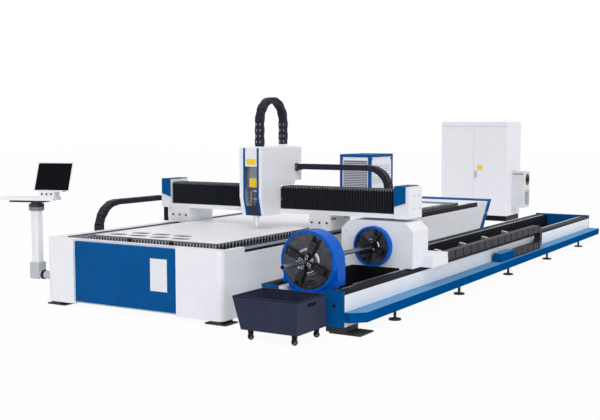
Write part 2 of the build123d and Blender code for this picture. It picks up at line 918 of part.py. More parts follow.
# Gantry: box beam on two feet, bearing blocks under them and a tray for the cable chain
x_radius = bend_radius(x_link_pitch, x_bend_links)
x_chain_y = beam_back + x_chain_clearance + x_link_width / 2
x_bend_x = bed_left + x_chain_reach
x_tray_top = x_chain_height - 2 * x_radius - x_link_height / 2 - seat_gap
with BuildPart() as gantry_beam:
    with BuildSketch(lengthwise(beam_left)):
        ledge_front = gantry_front - ledge_overhang
        outline(
            (ledge_front, beam_bottom),
            (ledge_front, beam_bottom + ledge_height),
            (beam_front, beam_bottom + ledge_height),
            (beam_front, beam_top),
            (beam_back, beam_top),
            (beam_back, beam_bottom),
        )
    extrude(amount=beam_right - beam_left)
    foot_run = (gantry_front, gantry_front + foot_depth)
    for offset, width, rail_offset in (
        (left_foot_offset, left_foot_width, left_rail_offset),
        (right_foot_offset, right_foot_width, right_rail_offset),
    ):
        foot_x = bed_left + offset
        with BuildSketch(lengthwise(foot_x)):
            outline(
                (foot_run[0], foot_bottom),
                (foot_run[0], beam_bottom),
                (foot_run[1], beam_bottom),
                (foot_run[1], foot_bottom + foot_edge),
                (foot_run[1] - foot_edge, foot_bottom),
            )
        extrude(amount=width)
        for middle in (foot_run[0] + slider_length, foot_run[1] - slider_length):
            slider(bed_left + rail_offset, middle)
    tray_left = x_bend_x - x_link_pitch * x_lower_links
    tray_x = (tray_left, beam_right)
    tray_back = x_chain_y + x_link_width / 2 + chain_tray_thickness
    block(tray_x, (beam_back, tray_back), (x_tray_top - chain_tray_thickness, x_tray_top))
    tray_lip = (tray_back - chain_tray_thickness + seat_gap, tray_back)
    block(tray_x, tray_lip, (x_tray_top - chain_tray_thickness, x_tray_top + chain_tray_lip))
save(gantry_beam, "gantry_beam")

# White end covers; the left one also holds the end of the gantry's cable chain
y_chain_end = bed_front + y_chain_reach + y_link_pitch * y_upper_links + seat_gap
with BuildPart() as gantry_end_covers:
    cover_back = cover_front + cover_depth
    for start, width in (
        (bed_left + left_cover_offset, left_cover_width),
        (beam_right, right_cover_width),
    ):
        with BuildSketch(lengthwise(start)):
            outline(
                (cover_front, beam_bottom),
                (cover_front, cover_top),
                (cover_back - cover_edge, cover_top),
                (cover_back, cover_top - cover_edge),
                (cover_back, beam_bottom),
            )
        extrude(amount=width)
    arm_left = bed_left - y_chain_clearance - y_link_width
    arm_z = (y_chain_height - y_link_height / 2, y_chain_height + y_link_height / 2)
    arm_run = (y_chain_end, y_chain_end + chain_tray_thickness * 2)
    block((arm_left, bed_left + left_cover_offset), arm_run, arm_z)
save(gantry_end_covers, "gantry_end_covers")

# Blue panels on the fronts and tops of the end covers, lower on the side of the bellows
with BuildPart() as gantry_end_panels:
    left_inner = bed_left + left_cover_offset + left_cover_width
    for inner, outer in (
        (left_inner, left_inner - end_panel_width),
        (beam_right, beam_right + end_panel_width),
    ):
        with BuildSketch(upright(cover_front)):
            outline(
                (inner, cover_top),
                (inner, cover_top - end_panel_inner_drop),
                (outer, cover_top - end_panel_outer_drop),
                (outer, cover_top),
            )
        extrude(amount=end_panel_thickness)
        panel_x = (min(inner, outer), max(inner, outer))
        panel_run = (cover_front - end_panel_thickness, cover_back - cover_edge)
        block(panel_x, panel_run, (cover_top, cover_top + end_panel_thickness))
save(gantry_end_panels, "gantry_end_panels")

beam_rail_heights = [beam_bottom + (beam_top - beam_bottom) * share for share in beam_rail_shares]
with BuildPart() as beam_rails:
    for height in beam_rail_heights:
        rail_z = (height - beam_rail_width / 2, height + beam_rail_width / 2)
        block((beam_left, beam_right), (beam_front - beam_rail_height, beam_front), rail_z)
save(beam_rails, "beam_rails")

# Servo motors with gearboxes behind the two feet
with BuildPart() as gantry_motors:
    for foot_x in (
        bed_left + left_foot_offset + left_foot_width / 2,
        bed_left + right_foot_offset + right_foot_width / 2,
    ):
        gear_run = (foot_run[1], foot_run[1] + motor_width)
        gear_x = (foot_x - motor_width / 2, foot_x + motor_width / 2)
        gear_top = foot_bottom + foot_edge + gearbox_length
        block(gear_x, gear_run, (foot_bottom + foot_edge, gear_top))
        with Locations((foot_x, foot_run[1] + motor_width / 2, gear_top)):
            Cylinder(motor_width / 2 - foot_edge / 2, motor_length, align=STANDING)
save(gantry_motors, "gantry_motors")

left_bellows = bellows(beam_left + seat_gap, head_left - seat_gap)
save(left_bellows, "left_bellows")
right_bellows = bellows(head_right + seat_gap, beam_right - seat_gap)
save(right_bellows, "right_bellows")

x_plane = Plane(origin=(x_bend_x, x_chain_y, x_chain_height - x_radius), x_dir=(1, 0, 0), z_dir=(0, -1, 0))
x_pivots = chain_pivots(x_link_pitch, x_upper_links, x_bend_links, x_lower_links)
x_chain = chain(x_plane, x_pivots, x_link_pitch, x_link_height, x_link_width)
save(x_chain, "x_chain")

y_plane = Plane(
    origin=(
        bed_left - y_chain_clearance - y_link_width / 2,
        bed_front + y_chain_reach,
        y_chain_height - y_radius,
    ),
    x_dir=(0, -1, 0),
    z_dir=(-1, 0, 0),
)
y_pivots = chain_pivots(y_link_pitch, y_upper_links, y_bend_links, y_lower_links)
y_chain = chain(y_plane, y_pivots, y_link_pitch, y_link_height, y_link_width)
save(y_chain, "y_chain")

# Carriage: plate on the beam rails, rails for the height slide, chain arm and lower guard
x_chain_start = x_bend_x - x_link_pitch * x_upper_links - seat_gap
with BuildPart() as carriage_plate:
    plate_x = (head_left + head_wall + carriage_side_gap, head_right - head_wall - carriage_side_gap)
    block(plate_x, (carriage_front, head_lower_back), (carriage_bottom, carriage_top))
    for height in beam_rail_heights:
        half = carriage_slider_height / 2
        groove = beam_rail_width / 2 + seat_gap
        block_back = beam_front - beam_rail_height / 3
        for end_x in (plate_x[0], plate_x[1] - carriage_slider_length):
            slider_x = (end_x, end_x + carriage_slider_length)
            block(slider_x, (head_lower_back, block_back), (height - half, height + half))
        groove_run = (beam_front - beam_rail_height - seat_gap, block_back + overrun)
        groove_x = (plate_x[0] - overrun, plate_x[1] + overrun)
        block(groove_x, groove_run, (height - groove, height + groove), mode=Mode.SUBTRACT)
    for side in (-1, 1):
        rail_x = head_middle + side * z_rail_spacing / 2
        sides = (rail_x - z_rail_width / 2, rail_x + z_rail_width / 2)
        block(sides, (carriage_front - z_rail_height, carriage_front), (carriage_bottom, carriage_top))
    arm_top = x_chain_height + x_link_height / 2
    arm_run = (head_lower_back, x_chain_y + x_link_width / 2)
    arm_z = (arm_top - x_link_height - carriage_arm_thickness, arm_top - x_link_height)
    block((head_middle, plate_x[1]), arm_run, arm_z)
    arm_end = (x_chain_y - x_link_width / 2, x_chain_y + x_link_width / 2)
    block((head_middle, x_chain_start), arm_end, (arm_z[0], arm_z[1]))
    stop_x = (x_chain_start - carriage_arm_thickness, x_chain_start)
    block(stop_x, arm_end, (arm_z[0], arm_top))
    # Guard that closes the foot of the head cover's window and follows its rake
    guard_sides = head_window_width - 2 * seat_gap
    with BuildSketch(lengthwise(head_middle)):
        foot_y = head_front + head_rake
        brow_y = foot_y - head_rake * guard_height / head_rake_height
        outline(
            (foot_y, head_bottom),
            (brow_y, head_bottom + guard_height),
            (brow_y + guard_thickness, head_bottom + guard_height),
            (foot_y + guard_thickness, head_bottom),
        )
    extrude(amount=guard_sides / 2, both=True)
save(carriage_plate, "carriage_plate")

# Head cover: folded shell over the carriage, open underneath and down its front
z_radius = bend_radius(z_link_pitch, z_bend_links)
z_front_y = head_front + z_chain_setback
z_rear_y = z_front_y + 2 * z_radius
z_rear_foot = z_chain_centre - z_link_pitch * z_rear_links - seat_gap
with BuildPart() as head_cover:
    with BuildSketch(lengthwise(head_left)):
        outline(
            (head_front, head_top),
            (head_back, head_top),
            (head_back, head_step),
            (head_lower_back, head_step),
            (head_lower_back, head_bottom),
            (head_front + head_rake, head_bottom),
            (head_front, head_bottom + head_rake_height),
        )
    extrude(amount=head_width)
    chamfer(head_cover.faces().sort_by(Axis.Z)[-1].edges(), head_edge)
    inner_top = head_top - head_wall
    with BuildSketch(lengthwise(head_left + head_wall)):
        outline(
            (head_front + head_wall, inner_top),
            (head_back - head_wall, inner_top),
            (head_back - head_wall, head_step - overrun),
            (head_lower_back + overrun, head_step - overrun),
            (head_lower_back + overrun, head_bottom - overrun),
            (head_front + head_rake + head_wall, head_bottom - overrun),
            (head_front + head_rake + head_wall, head_bottom),
            (head_front + head_wall, head_bottom + head_rake_height),
        )
    extrude(amount=head_width - 2 * head_wall, mode=Mode.SUBTRACT)
    window = (head_middle - head_window_width / 2, head_middle + head_window_width / 2)
    window_run = (head_front - overrun, head_front + head_rake + head_wall + overrun)
    block(window, window_run, (head_bottom - overrun, head_window_top), mode=Mode.SUBTRACT)
    notch_run = (x_chain_y - x_link_width / 2 - carriage_side_gap, head_back + overrun)
    notch_z = (arm_z[0] - carriage_side_gap, arm_top + carriage_side_gap)
    notch_x = (head_right - head_wall - overrun, head_right + overrun)
    block(notch_x, notch_run, notch_z, mode=Mode.SUBTRACT)
    slot_half = z_link_width / 2 + carriage_side_gap
    slot_depth = z_link_height / 2 + carriage_side_gap
    slot_run = (z_front_y - slot_depth, z_front_y + slot_depth)
    slot_x = (head_middle - slot_half, head_middle + slot_half)
    block(slot_x, slot_run, (inner_top - overrun, head_top + overrun), mode=Mode.SUBTRACT)
    foot_x = (head_middle - z_link_width / 2, head_middle + z_link_width / 2)
    foot_y = (z_rear_y - z_link_height / 2, z_rear_y + z_link_height / 2)
    block(foot_x, foot_y, (head_top, z_rear_foot))
save(head_cover, "head_cover")

z_plane = Plane(origin=(head_middle, z_front_y + z_radius, z_chain_centre), x_dir=(0, 0, 1), z_dir=(-1, 0, 0))
z_pivots = chain_pivots(z_link_pitch, z_rear_links, z_bend_links, z_front_links)
z_chain = chain(z_plane, z_pivots, z_link_pitch, z_link_height, z_link_width)
save(z_chain, "z_chain")

# Height slide: plate on the carriage's upright rails, with a shelf for its cable chain
z_plate_back = carriage_front - z_rail_height - seat_gap
z_plate_front = z_plate_back - z_plate_thickness
z_shelf = z_chain_centre - z_link_pitch * z_front_links - seat_gap
with BuildPart() as z_plate:
    half_plate = z_plate_width / 2
    plate_sides = (head_middle - half_plate, head_middle + half_plate)
    plate_z = (z_plate_bottom, z_plate_bottom + z_plate_height)
    block(plate_sides, (z_plate_front, z_plate_back), plate_z)
    for side in (-1, 1):
        rail_x = head_middle + side * z_rail_spacing / 2
        for low in (plate_z[0], plate_z[1] - z_slider_height):
            slider_sides = (rail_x - z_slider_width / 2, rail_x + z_slider_width / 2)
            slider_back = carriage_front - z_rail_height / 3
            block(slider_sides, (z_plate_back, slider_back), (low, low + z_slider_height))
        groove_half = z_rail_width / 2 + seat_gap
        groove_x = (rail_x - groove_half, rail_x + groove_half)
        block(groove_x, (z_plate_back, carriage_front), plate_z, mode=Mode.SUBTRACT)
    shelf_x = (head_middle - z_link_width / 2, head_middle + z_link_width / 2)
    shelf_y = (z_front_y - z_link_height / 2, z_plate_back)
    block(shelf_x, shelf_y, (z_shelf - z_plate_thickness, z_shelf))
    block(shelf_x, (z_plate_front, z_plate_back), (plate_z[1], z_shelf))
save(z_plate, "z_plate")

# Cutting head: nozzle, sensor, neck, optics body and collimator, turned about one axis
with BuildPart() as cutting_head:
    tip = sheet_top + nozzle_gap
    height = tip + nozzle_height
    profile = [(0, tip), (nozzle_tip_radius, tip), (nozzle_radius, height)]
    for radius, length in (
        (sensor_radius, sensor_height),
        (neck_radius, neck_height),
        (optics_radius, optics_height),
        (collimator_radius, collimator_height),
    ):
        profile.append((radius, height))
        height = height + length
        profile.append((radius, height))
    head_plane = Plane(origin=(head_middle, nozzle_y, 0), x_dir=(1, 0, 0), z_dir=(0, -1, 0))
    with BuildSketch(head_plane):
        outline(*profile, (0, height))
    revolve(axis=Axis((head_middle, nozzle_y, 0), (0, 0, 1)))
    optics_low = tip + nozzle_height + sensor_height + neck_height
    clamp_x = (head_middle - clamp_block_width / 2, head_middle + clamp_block_width / 2)
    clamp_z = (optics_low, optics_low + clamp_block_height)
    block(clamp_x, (nozzle_y, z_plate_front), clamp_z)
save(cutting_head, "cutting_head")

# Front chuck: drum on a foot, turning face with slots, four jaws
drum_front = bed_front + drum_face_place
drum_back = drum_front + drum_depth
face_radius = drum_radius - drum_wall
with BuildPart() as front_chuck_drum:
    with BuildSketch(upright(drum_back)):
        with Locations((axis_x, chuck_axis_height)):
            Circle(drum_radius)
    extrude(amount=drum_depth)
    chamfer(front_chuck_drum.edges().filter_by(GeomType.CIRCLE), drum_rim_edge)
    with BuildSketch(upright(drum_back)):
        foot_half = drum_foot_width / 2
        web_half = drum_web_width / 2
        web_bottom = chuck_seat_top + drum_web_height
        outline(
            (axis_x - foot_half, chuck_seat_top),
            (axis_x - web_half, web_bottom),
            (axis_x - drum_radius, web_bottom),
            (axis_x - drum_radius, chuck_axis_height),
            (axis_x + drum_radius, chuck_axis_height),
            (axis_x + drum_radius, web_bottom),
            (axis_x + web_half, web_bottom),
            (axis_x + foot_half, chuck_seat_top),
        )
    extrude(amount=drum_depth * drum_web_share)
    foot_x = (axis_x - foot_half, axis_x + foot_half)
    foot_y = (drum_back - drum_foot_length * 3 / 4, drum_back + drum_foot_length / 4)
    block(foot_x, foot_y, (chuck_seat_top, chuck_seat_top + chuck_seat_thickness))
    with BuildSketch(upright(drum_back + drum_foot_length)):
        with Locations((axis_x, chuck_axis_height)):
            Circle(face_radius + seat_gap)
    extrude(amount=drum_depth + 2 * drum_foot_length, mode=Mode.SUBTRACT)
save(front_chuck_drum, "front_chuck_drum")

jaw_angles = [jaw_turn + 360 / jaw_count * i for i in range(jaw_count)]


def chuck_face(front, radius, thickness, bore, jaw_width, jaw_reach):
    """A turning chuck face with a bore and an open slot for each jaw."""
    with BuildPart() as face:
        with BuildSketch(upright(front + thickness)):
            with Locations((axis_x, chuck_axis_height)):
                Circle(radius)
                Circle(bore, mode=Mode.SUBTRACT)
        extrude(amount=thickness)
        for angle in jaw_angles:
            with BuildSketch(radial_plane(front + jaw_key_depth, angle)):
                with Locations((jaw_reach / 2, 0)):
                    Rectangle(jaw_reach, jaw_width + 2 * seat_gap)
            extrude(amount=jaw_key_depth + overrun, mode=Mode.SUBTRACT)
    return face


def chuck_jaw(front, angle, width, length, rise, tip_width, tip_length, tip_rise):
    """A jaw keyed in its slot, stepped towards the outside, with a tip that meets the tube."""
    inner = tube_radius + seat_gap
    key = front + jaw_key_depth - seat_gap
    step = length * jaw_step_share
    with BuildPart() as jaw:
        with BuildSketch(radial_plane(key, angle)):
            outline(
                (inner, tip_width / 2),
                (inner, -tip_width / 2),
                (inner + tip_length, -width / 2),
                (inner + length, -width / 2),
                (inner + length, width / 2),
                (inner + tip_length, width / 2),
            )
        extrude(amount=key - front + rise)
        with BuildSketch(radial_plane(front, angle)):
            with Locations((inner + length, 0)):
                Rectangle(2 * (length - step), width * jaw_step_share, align=Align.CENTER)
        extrude(amount=rise + overrun, mode=Mode.SUBTRACT)
        with BuildSketch(radial_plane(front, angle)):
            with Locations((inner + tip_length / 2, 0)):
                Rectangle(tip_length, tip_width)
        extrude(amount=tip_rise)
    return jaw


front_face_y = drum_front + front_face_setback
front_chuck_face = chuck_face(
    front_face_y,
    face_radius,
    front_face_thickness,
    front_bore_radius,
    front_jaw_width,
    face_radius - drum_wall / 2,
)
save(front_chuck_face, "front_chuck_face")
for i, angle in enumerate(jaw_angles):
    front_jaw = chuck_jaw(
        front_face_y,
        angle,
        front_jaw_width,
        front_jaw_length,
        front_jaw_rise,
        front_tip_width,
        front_tip_length,
        front_tip_rise,
    )
    save(front_jaw, f"front_jaw_{i + 1}")

# Headstock: closed housing on the tube rails, with a bore for the spindle and a chain box
with BuildPart() as headstock_housing:
    house_left = tube_left + headstock_left
    house_right = tube_right - headstock_right
    with BuildSketch(upright(headstock_back)):
        outline(
            (house_left, headstock_bottom),
            (house_left, headstock_top - headstock_corner),
            (house_left + headstock_corner, headstock_top),
            (house_right - headstock_corner, headstock_top),
            (house_right, headstock_top - headstock_corner),
            (house_right, headstock_bottom),
        )
    extrude(amount=headstock_depth)
    chain_end = feed_bend_y - feed_link_pitch * feed_upper_links - seat_gap
    box_x = (house_right - headstock_corner, feed_x + feed_link_width / 2)
    box_z = (headstock_bottom, headstock_bottom + chain_box_height)
    block(box_x, (headstock_back - headstock_depth / 2, chain_end), box_z)
    pad_half = tube_rail_width / 2 + tube_cover_gap / 2
    for rail_x in (left_tube_rail, right_tube_rail):
        pad_x = (rail_x - pad_half, rail_x + pad_half)
        block(pad_x, (headstock_front, headstock_back), (tube_rail_top + seat_gap, headstock_bottom))
    with BuildSketch(upright(headstock_back)):
        with Locations((axis_x, chuck_axis_height)):
            Circle(rear_spindle_radius + running_gap)
    extrude(amount=headstock_depth, mode=Mode.SUBTRACT)
save(headstock_housing, "headstock_housing")

# Rear chuck: blue rim and steel face on a hollow spindle, four jaws, two with long fingers
rear_face_y = bed_front + rear_face_place
rear_rim_back = headstock_front - seat_gap
rear_face_radius = rear_rim_radius - rear_rim_wall
with BuildPart() as rear_chuck_rim:
    with BuildSketch(upright(rear_rim_back)):
        with Locations((axis_x, chuck_axis_height)):
            Circle(rear_rim_radius)
    extrude(amount=rear_rim_depth)
    chamfer(rear_chuck_rim.edges().filter_by(GeomType.CIRCLE), rear_rim_edge)
    with BuildSketch(upright(rear_rim_back)):
        with Locations((axis_x, chuck_axis_height)):
            Circle(rear_face_radius)
    extrude(amount=rear_rim_depth, mode=Mode.SUBTRACT)
save(rear_chuck_rim, "rear_chuck_rim")

rear_disc = chuck_face(
    rear_face_y - rear_face_thickness / 2,
    rear_face_radius,
    rear_face_thickness,
    rear_bore_radius,
    rear_jaw_width,
    rear_face_radius - rear_rim_wall / 2,
)
with BuildPart() as rear_chuck_face:
    add(rear_disc.part)
    with BuildSketch(upright(headstock_front + rear_spindle_length)):
        with Locations((axis_x, chuck_axis_height)):
            Circle(rear_spindle_radius)
            Circle(rear_bore_radius, mode=Mode.SUBTRACT)
    extrude(amount=headstock_front + rear_spindle_length - rear_face_y - rear_face_thickness / 2)
save(rear_chuck_face, "rear_chuck_face")

for i, angle in enumerate(jaw_angles):
    finger = rear_finger_length if i % 2 == 0 else rear_short_finger
    rear_jaw = chuck_jaw(
        rear_face_y - rear_face_thickness / 2,
        angle,
        rear_jaw_width,
        rear_jaw_length,
        rear_jaw_rise,
        rear_finger_width,
        rear_finger_width,
        finger,
    )
    save(rear_jaw, f"rear_jaw_{i + 1}")

with BuildPart() as tube:
    with BuildSketch(upright(headstock_front + tube_tail)):
        with Locations((axis_x, chuck_axis_height)):
            Circle(tube_radius)
            Circle(tube_radius - tube_wall, mode=Mode.SUBTRACT)
    extrude(amount=headstock_place + tube_tail - tube_front_place)
save(tube, "tube")

feed_plane = Plane(origin=(feed_x, feed_bend_y, feed_low + feed_radius), x_dir=(0, 1, 0), z_dir=(1, 0, 0))
feed_pivots = chain_pivots(feed_link_pitch, feed_upper_links, feed_bend_links, feed_lower_links)
feed_chain = chain(feed_plane, feed_pivots, feed_link_pitch, feed_link_height, feed_link_width)
save(feed_chain, "feed_chain")

# Console: cast elbow on a wall stub, square post, and a head that swivels on the post
post_x = bed_left - post_offset
post_y = bed_front + post_place
with BuildPart() as console_elbow:
    with BuildSketch(Plane.XY.offset(elbow_bottom)):
        with Locations((post_x, post_y)):
            RectangleRounded(elbow_width, elbow_width, post_corner)
    extrude(amount=elbow_top - elbow_bottom)
    fillet(console_elbow.faces().sort_by(Axis.Z)[0].edges(), post_corner - seat_gap)
    with BuildSketch(lengthwise(bed_left)):
        with Locations((post_y, stub_height)):
            Circle(stub_radius)
    extrude(amount=-post_offset)
    ring_back = post_x + elbow_width / 2 + stub_ring_length
    with BuildSketch(lengthwise(ring_back)):
        with Locations((post_y, stub_height)):
            Circle(stub_ring_radius)
    extrude(amount=-stub_ring_length)
save(console_elbow, "console_elbow")

with BuildPart() as console_post:
    with BuildSketch(Plane.XY.offset(elbow_top)):
        with Locations((post_x, post_y)):
            RectangleRounded(post_width, post_width, post_corner)
    extrude(amount=post_top - elbow_top)
    with BuildSketch(Plane.XY.offset(post_top - collar_height)):
        with Locations((post_x, post_y)):
            RectangleRounded(collar_width, collar_width, post_corner)
    extrude(amount=collar_height)
save(console_post, "console_post")



def turned(piece):
    """A piece of the console's head, turned on the post to face the operator's side."""
    with BuildPart() as result:
        add(piece.part.rotate(Axis((post_x, post_y, 0), (0, 0, 1)), console_yaw))
    return result


tray_x = post_x - tray_shift
tray_bottom = post_top + seat_gap + tray_hub_height + tray_plate_height
tray_top = tray_bottom + tray_thickness
with BuildPart() as console_tray:
    with Locations((post_x, post_y, post_top + seat_gap)):
        Cylinder(tray_hub_radius, tray_hub_height, align=STANDING)
    with BuildSketch(Plane.XY.offset(tray_bottom - tray_plate_height)):
        with Locations((tray_x, post_y)):
            Rectangle(tray_width * tray_plate_share, tray_depth * tray_plate_share)
    extrude(amount=tray_plate_height)
    with BuildSketch(Plane.XY.offset(tray_bottom)):
        with Locations((tray_x, post_y)):
            RectangleRounded(tray_width, tray_depth, tray_corner)
    extrude(amount=tray_thickness)
save(turned(console_tray), "console_tray")

# Monitor leaning back on a base with three push buttons
monitor_x = tray_x + monitor_shift
base_front = post_y - monitor_base_depth / 2
screen_low = tray_top + monitor_base_height - screen_margin
screen_plane = Plane(
    origin=(monitor_x + screen_shift, base_front + screen_margin, screen_low),
    x_dir=(1, 0, 0),
    z_dir=(0, -cos(radians(monitor_lean)), sin(radians(monitor_lean))),
)
button_height = tray_top + monitor_base_height / 2
button_places = [(monitor_x + button_pitch * (i - 1), button_height) for i in range(button_count)]
with BuildPart() as monitor_case:
    with BuildSketch(Plane.XY.offset(tray_top)):
        with Locations((monitor_x, post_y)):
            Rectangle(monitor_base_width, monitor_base_depth)
    extrude(amount=monitor_base_height)
    with BuildSketch(screen_plane):
        with Locations((0, monitor_height / 2)):
            Rectangle(monitor_width, monitor_height)
    with BuildSketch(screen_plane.offset(-monitor_depth)):
        with Locations((0, monitor_height / 2)):
            Rectangle(monitor_width * monitor_back_share, monitor_height * monitor_back_share)
    loft()
    with BuildSketch(screen_plane):
        with Locations((0, monitor_height / 2)):
            Rectangle(monitor_width - 2 * screen_margin, monitor_height - 2 * screen_margin)
    extrude(amount=-screen_recess, mode=Mode.SUBTRACT)
    with BuildSketch(upright(base_front)):
        with Locations(*button_places):
            Circle(button_radius + running_gap)
    extrude(amount=-button_socket, mode=Mode.SUBTRACT)
save(turned(monitor_case), "monitor_case")

for i, place in enumerate(button_places):
    with BuildPart() as button:
        with BuildSketch(upright(base_front + button_socket / 2)):
            with Locations(place):
                Circle(button_radius)
        extrude(amount=button_length)
        chamfer(button.faces().sort_by(Axis.Y)[0].edges(), button_edge)
    save(turned(button), f"button_{i + 1}")

# Chiller: blue frame of posts and rails around set-back panels with louvres
chiller_x = (bed_left + chiller_right - chiller_width, bed_left + chiller_right)
chiller_y = (bed_back + chiller_distance, bed_back + chiller_distance + chiller_depth)
with BuildPart() as chiller_frame:
    block(chiller_x, chiller_y, (0, chiller_height))
    clear_x = (chiller_x[0] + chiller_post, chiller_x[1] - chiller_post)
    clear_y = (chiller_y[0] + chiller_post, chiller_y[1] - chiller_post)
    clear_z = (chiller_foot, chiller_height - chiller_post)
    wide_x = (chiller_x[0] - overrun, chiller_x[1] + overrun)
    wide_y = (chiller_y[0] - overrun, chiller_y[1] + overrun)
    block(clear_x, wide_y, clear_z, mode=Mode.SUBTRACT)
    block(wide_x, clear_y, clear_z, mode=Mode.SUBTRACT)
save(chiller_frame, "chiller_frame")

with BuildPart() as chiller_panels:
    shell_x = (clear_x[0] + seat_gap, clear_x[1] - seat_gap)
    shell_y = (clear_y[0] + seat_gap, clear_y[1] - seat_gap)
    shell_z = (clear_z[0] + seat_gap, clear_z[1] - seat_gap)
    deep_x = (chiller_x[0] + chiller_inset, chiller_x[1] - chiller_inset)
    deep_y = (chiller_y[0] + chiller_inset, chiller_y[1] - chiller_inset)
    block(shell_x, deep_y, shell_z)
    block(deep_x, shell_y, shell_z)
    for i in range(louvre_count):
        slot_top = shell_z[1] - louvre_drop - louvre_pitch * i
        slot_z = (slot_top - louvre_height, slot_top)
        slot_x = (shell_x[0] + louvre_margin, shell_x[1] - louvre_margin)
        slot_y = (shell_y[0] + louvre_margin, shell_y[1] - louvre_margin)
        block(slot_x, (deep_y[0], deep_y[0] + louvre_depth), slot_z, mode=Mode.SUBTRACT)
        block((deep_x[1] - louvre_depth, deep_x[1]), slot_y, slot_z, mode=Mode.SUBTRACT)
save(chiller_panels, "chiller_panels")

# Electric cabinet: open-fronted body on a slotted plinth, drives on its mounting plate
cab_x = (bed_left - cabinet_left, bed_left - cabinet_left + cabinet_width)
cab_y = (bed_back + cabinet_distance + door_thickness, bed_front + back_reach)
with BuildPart() as cabinet_plinth:
    plinth_x = (cab_x[0] + plinth_inset, cab_x[1] - plinth_inset)
    plinth_y = (cab_y[0] + plinth_inset, cab_y[1] - plinth_inset)
    block(plinth_x, plinth_y, (0, plinth_height))
    for i in range(plinth_slots):
        slot_left = (cab_x[0] + cab_x[1]) / 2 + plinth_slot_pitch * (i - plinth_slots / 2)
        slot_low = (plinth_height - plinth_slot_height) / 2
        slot_run = (plinth_y[0] - overrun, plinth_y[0] + plinth_inset)
        slot_sides = (slot_left, slot_left + plinth_slot_width)
        block(slot_sides, slot_run, (slot_low, slot_low + plinth_slot_height), mode=Mode.SUBTRACT)
save(cabinet_plinth, "cabinet_plinth")

with BuildPart() as cabinet_body:
    block(cab_x, cab_y, (plinth_height, cabinet_height))
    opening_x = (cab_x[0] + door_side, cab_x[1] - door_side)
    opening_z = (plinth_height + door_sill, cabinet_height - door_header)
    opening_y = (cab_y[0] - overrun, cab_y[1] - cabinet_wall)
    block(opening_x, opening_y, opening_z, mode=Mode.SUBTRACT)
    header_z = (opening_z[1] + door_gap, cabinet_height)
    block(cab_x, (cab_y[0] - door_thickness, cab_y[0]), header_z)
    plate_y = (cab_y[1] - cabinet_wall - mounting_plate, cab_y[1] - cabinet_wall)
    block(opening_x, plate_y, opening_z)
    drives_left = (cab_x[0] + cab_x[1] - drive_pitch * (drive_count - 1) - drive_width) / 2
    for i in range(drive_count):
        drive_x = drives_left + drive_pitch * i
        drive_run = (plate_y[0] - drive_depth, plate_y[0])
        drive_z = (drive_bottom, drive_bottom + drive_height)
        block((drive_x, drive_x + drive_width), drive_run, drive_z)
    eye_x = (cab_x[0] + eye_inset, cab_x[1] - eye_inset)
    eye_y = (cab_y[0] + eye_inset, cab_y[1] - eye_inset)
    with BuildSketch(*[upright(y + eye_wire / 2) for y in eye_y]):
        with Locations(*[(x, cabinet_height + eye_radius - eye_wire) for x in eye_x]):
            Circle(eye_radius)
            Circle(eye_radius - eye_wire, mode=Mode.SUBTRACT)
    extrude(amount=eye_wire)
save(cabinet_body, "cabinet_body")

# Laser source: a finned box on ears, fixed to the cabinet's mounting plate
with BuildPart() as laser_source:
    laser_middle = (cab_x[0] + cab_x[1]) / 2
    laser_x = (laser_middle - laser_width / 2, laser_middle + laser_width / 2)
    laser_y = (plate_y[0] - laser_depth, plate_y[0])
    laser_z = (laser_bottom, laser_bottom + laser_height)
    block(laser_x, laser_y, laser_z)
    ears = (laser_x[0] - laser_ear, laser_x[1] + laser_ear)
    block(ears, (plate_y[0] - laser_ear_thickness, plate_y[0]), laser_z)
    fin_pitch = laser_width / (laser_fin_count + 1)
    for i in range(laser_fin_count):
        fin_x = laser_x[0] + fin_pitch * (i + 1) - laser_fin_width / 2
        fin = (fin_x, fin_x + laser_fin_width)
        fin_z = (laser_z[1] - laser_fin_depth, laser_z[1] + overrun)
        block(fin, (laser_y[0] - overrun, laser_y[1] - laser_ear_thickness), fin_z, mode=Mode.SUBTRACT)
save(laser_source, "laser_source")

# Cabinet doors, the seam between them in the middle
door_y = (cab_y[0] - door_thickness, cab_y[0] - seat_gap)
door_z = (plinth_height + door_gap, opening_z[1])
cab_middle = (cab_x[0] + cab_x[1]) / 2
handle_x = cab_middle + handle_inset
for label, sides in (
    ("left_door", (cab_x[0], cab_middle - door_gap / 2)),
    ("right_door", (cab_middle + door_gap / 2, cab_x[1])),
):
    with BuildPart() as door:
        block(sides, door_y, door_z)
        chamfer(door.faces().sort_by(Axis.Y)[0].edges(), door_gap)
        with BuildSketch(upright(door_y[1])):
            with Locations((handle_x, handle_height)):
                Circle(axle_radius + running_gap)
        extrude(amount=door_thickness, mode=Mode.SUBTRACT)
    save(door, label)

with BuildPart() as door_handle:
    handle_front = door_y[0] - seat_gap
    with BuildSketch(upright(handle_front)):
        with Locations((handle_x, handle_height)):
            SlotOverall(handle_length, handle_width, rotation=90)
    extrude(amount=handle_rise)
    with BuildSketch(upright(door_y[1])):
        with Locations((handle_x, handle_height)):
            Circle(axle_radius)
    extrude(amount=door_y[1] - handle_front)
save(door_handle, "door_handle")

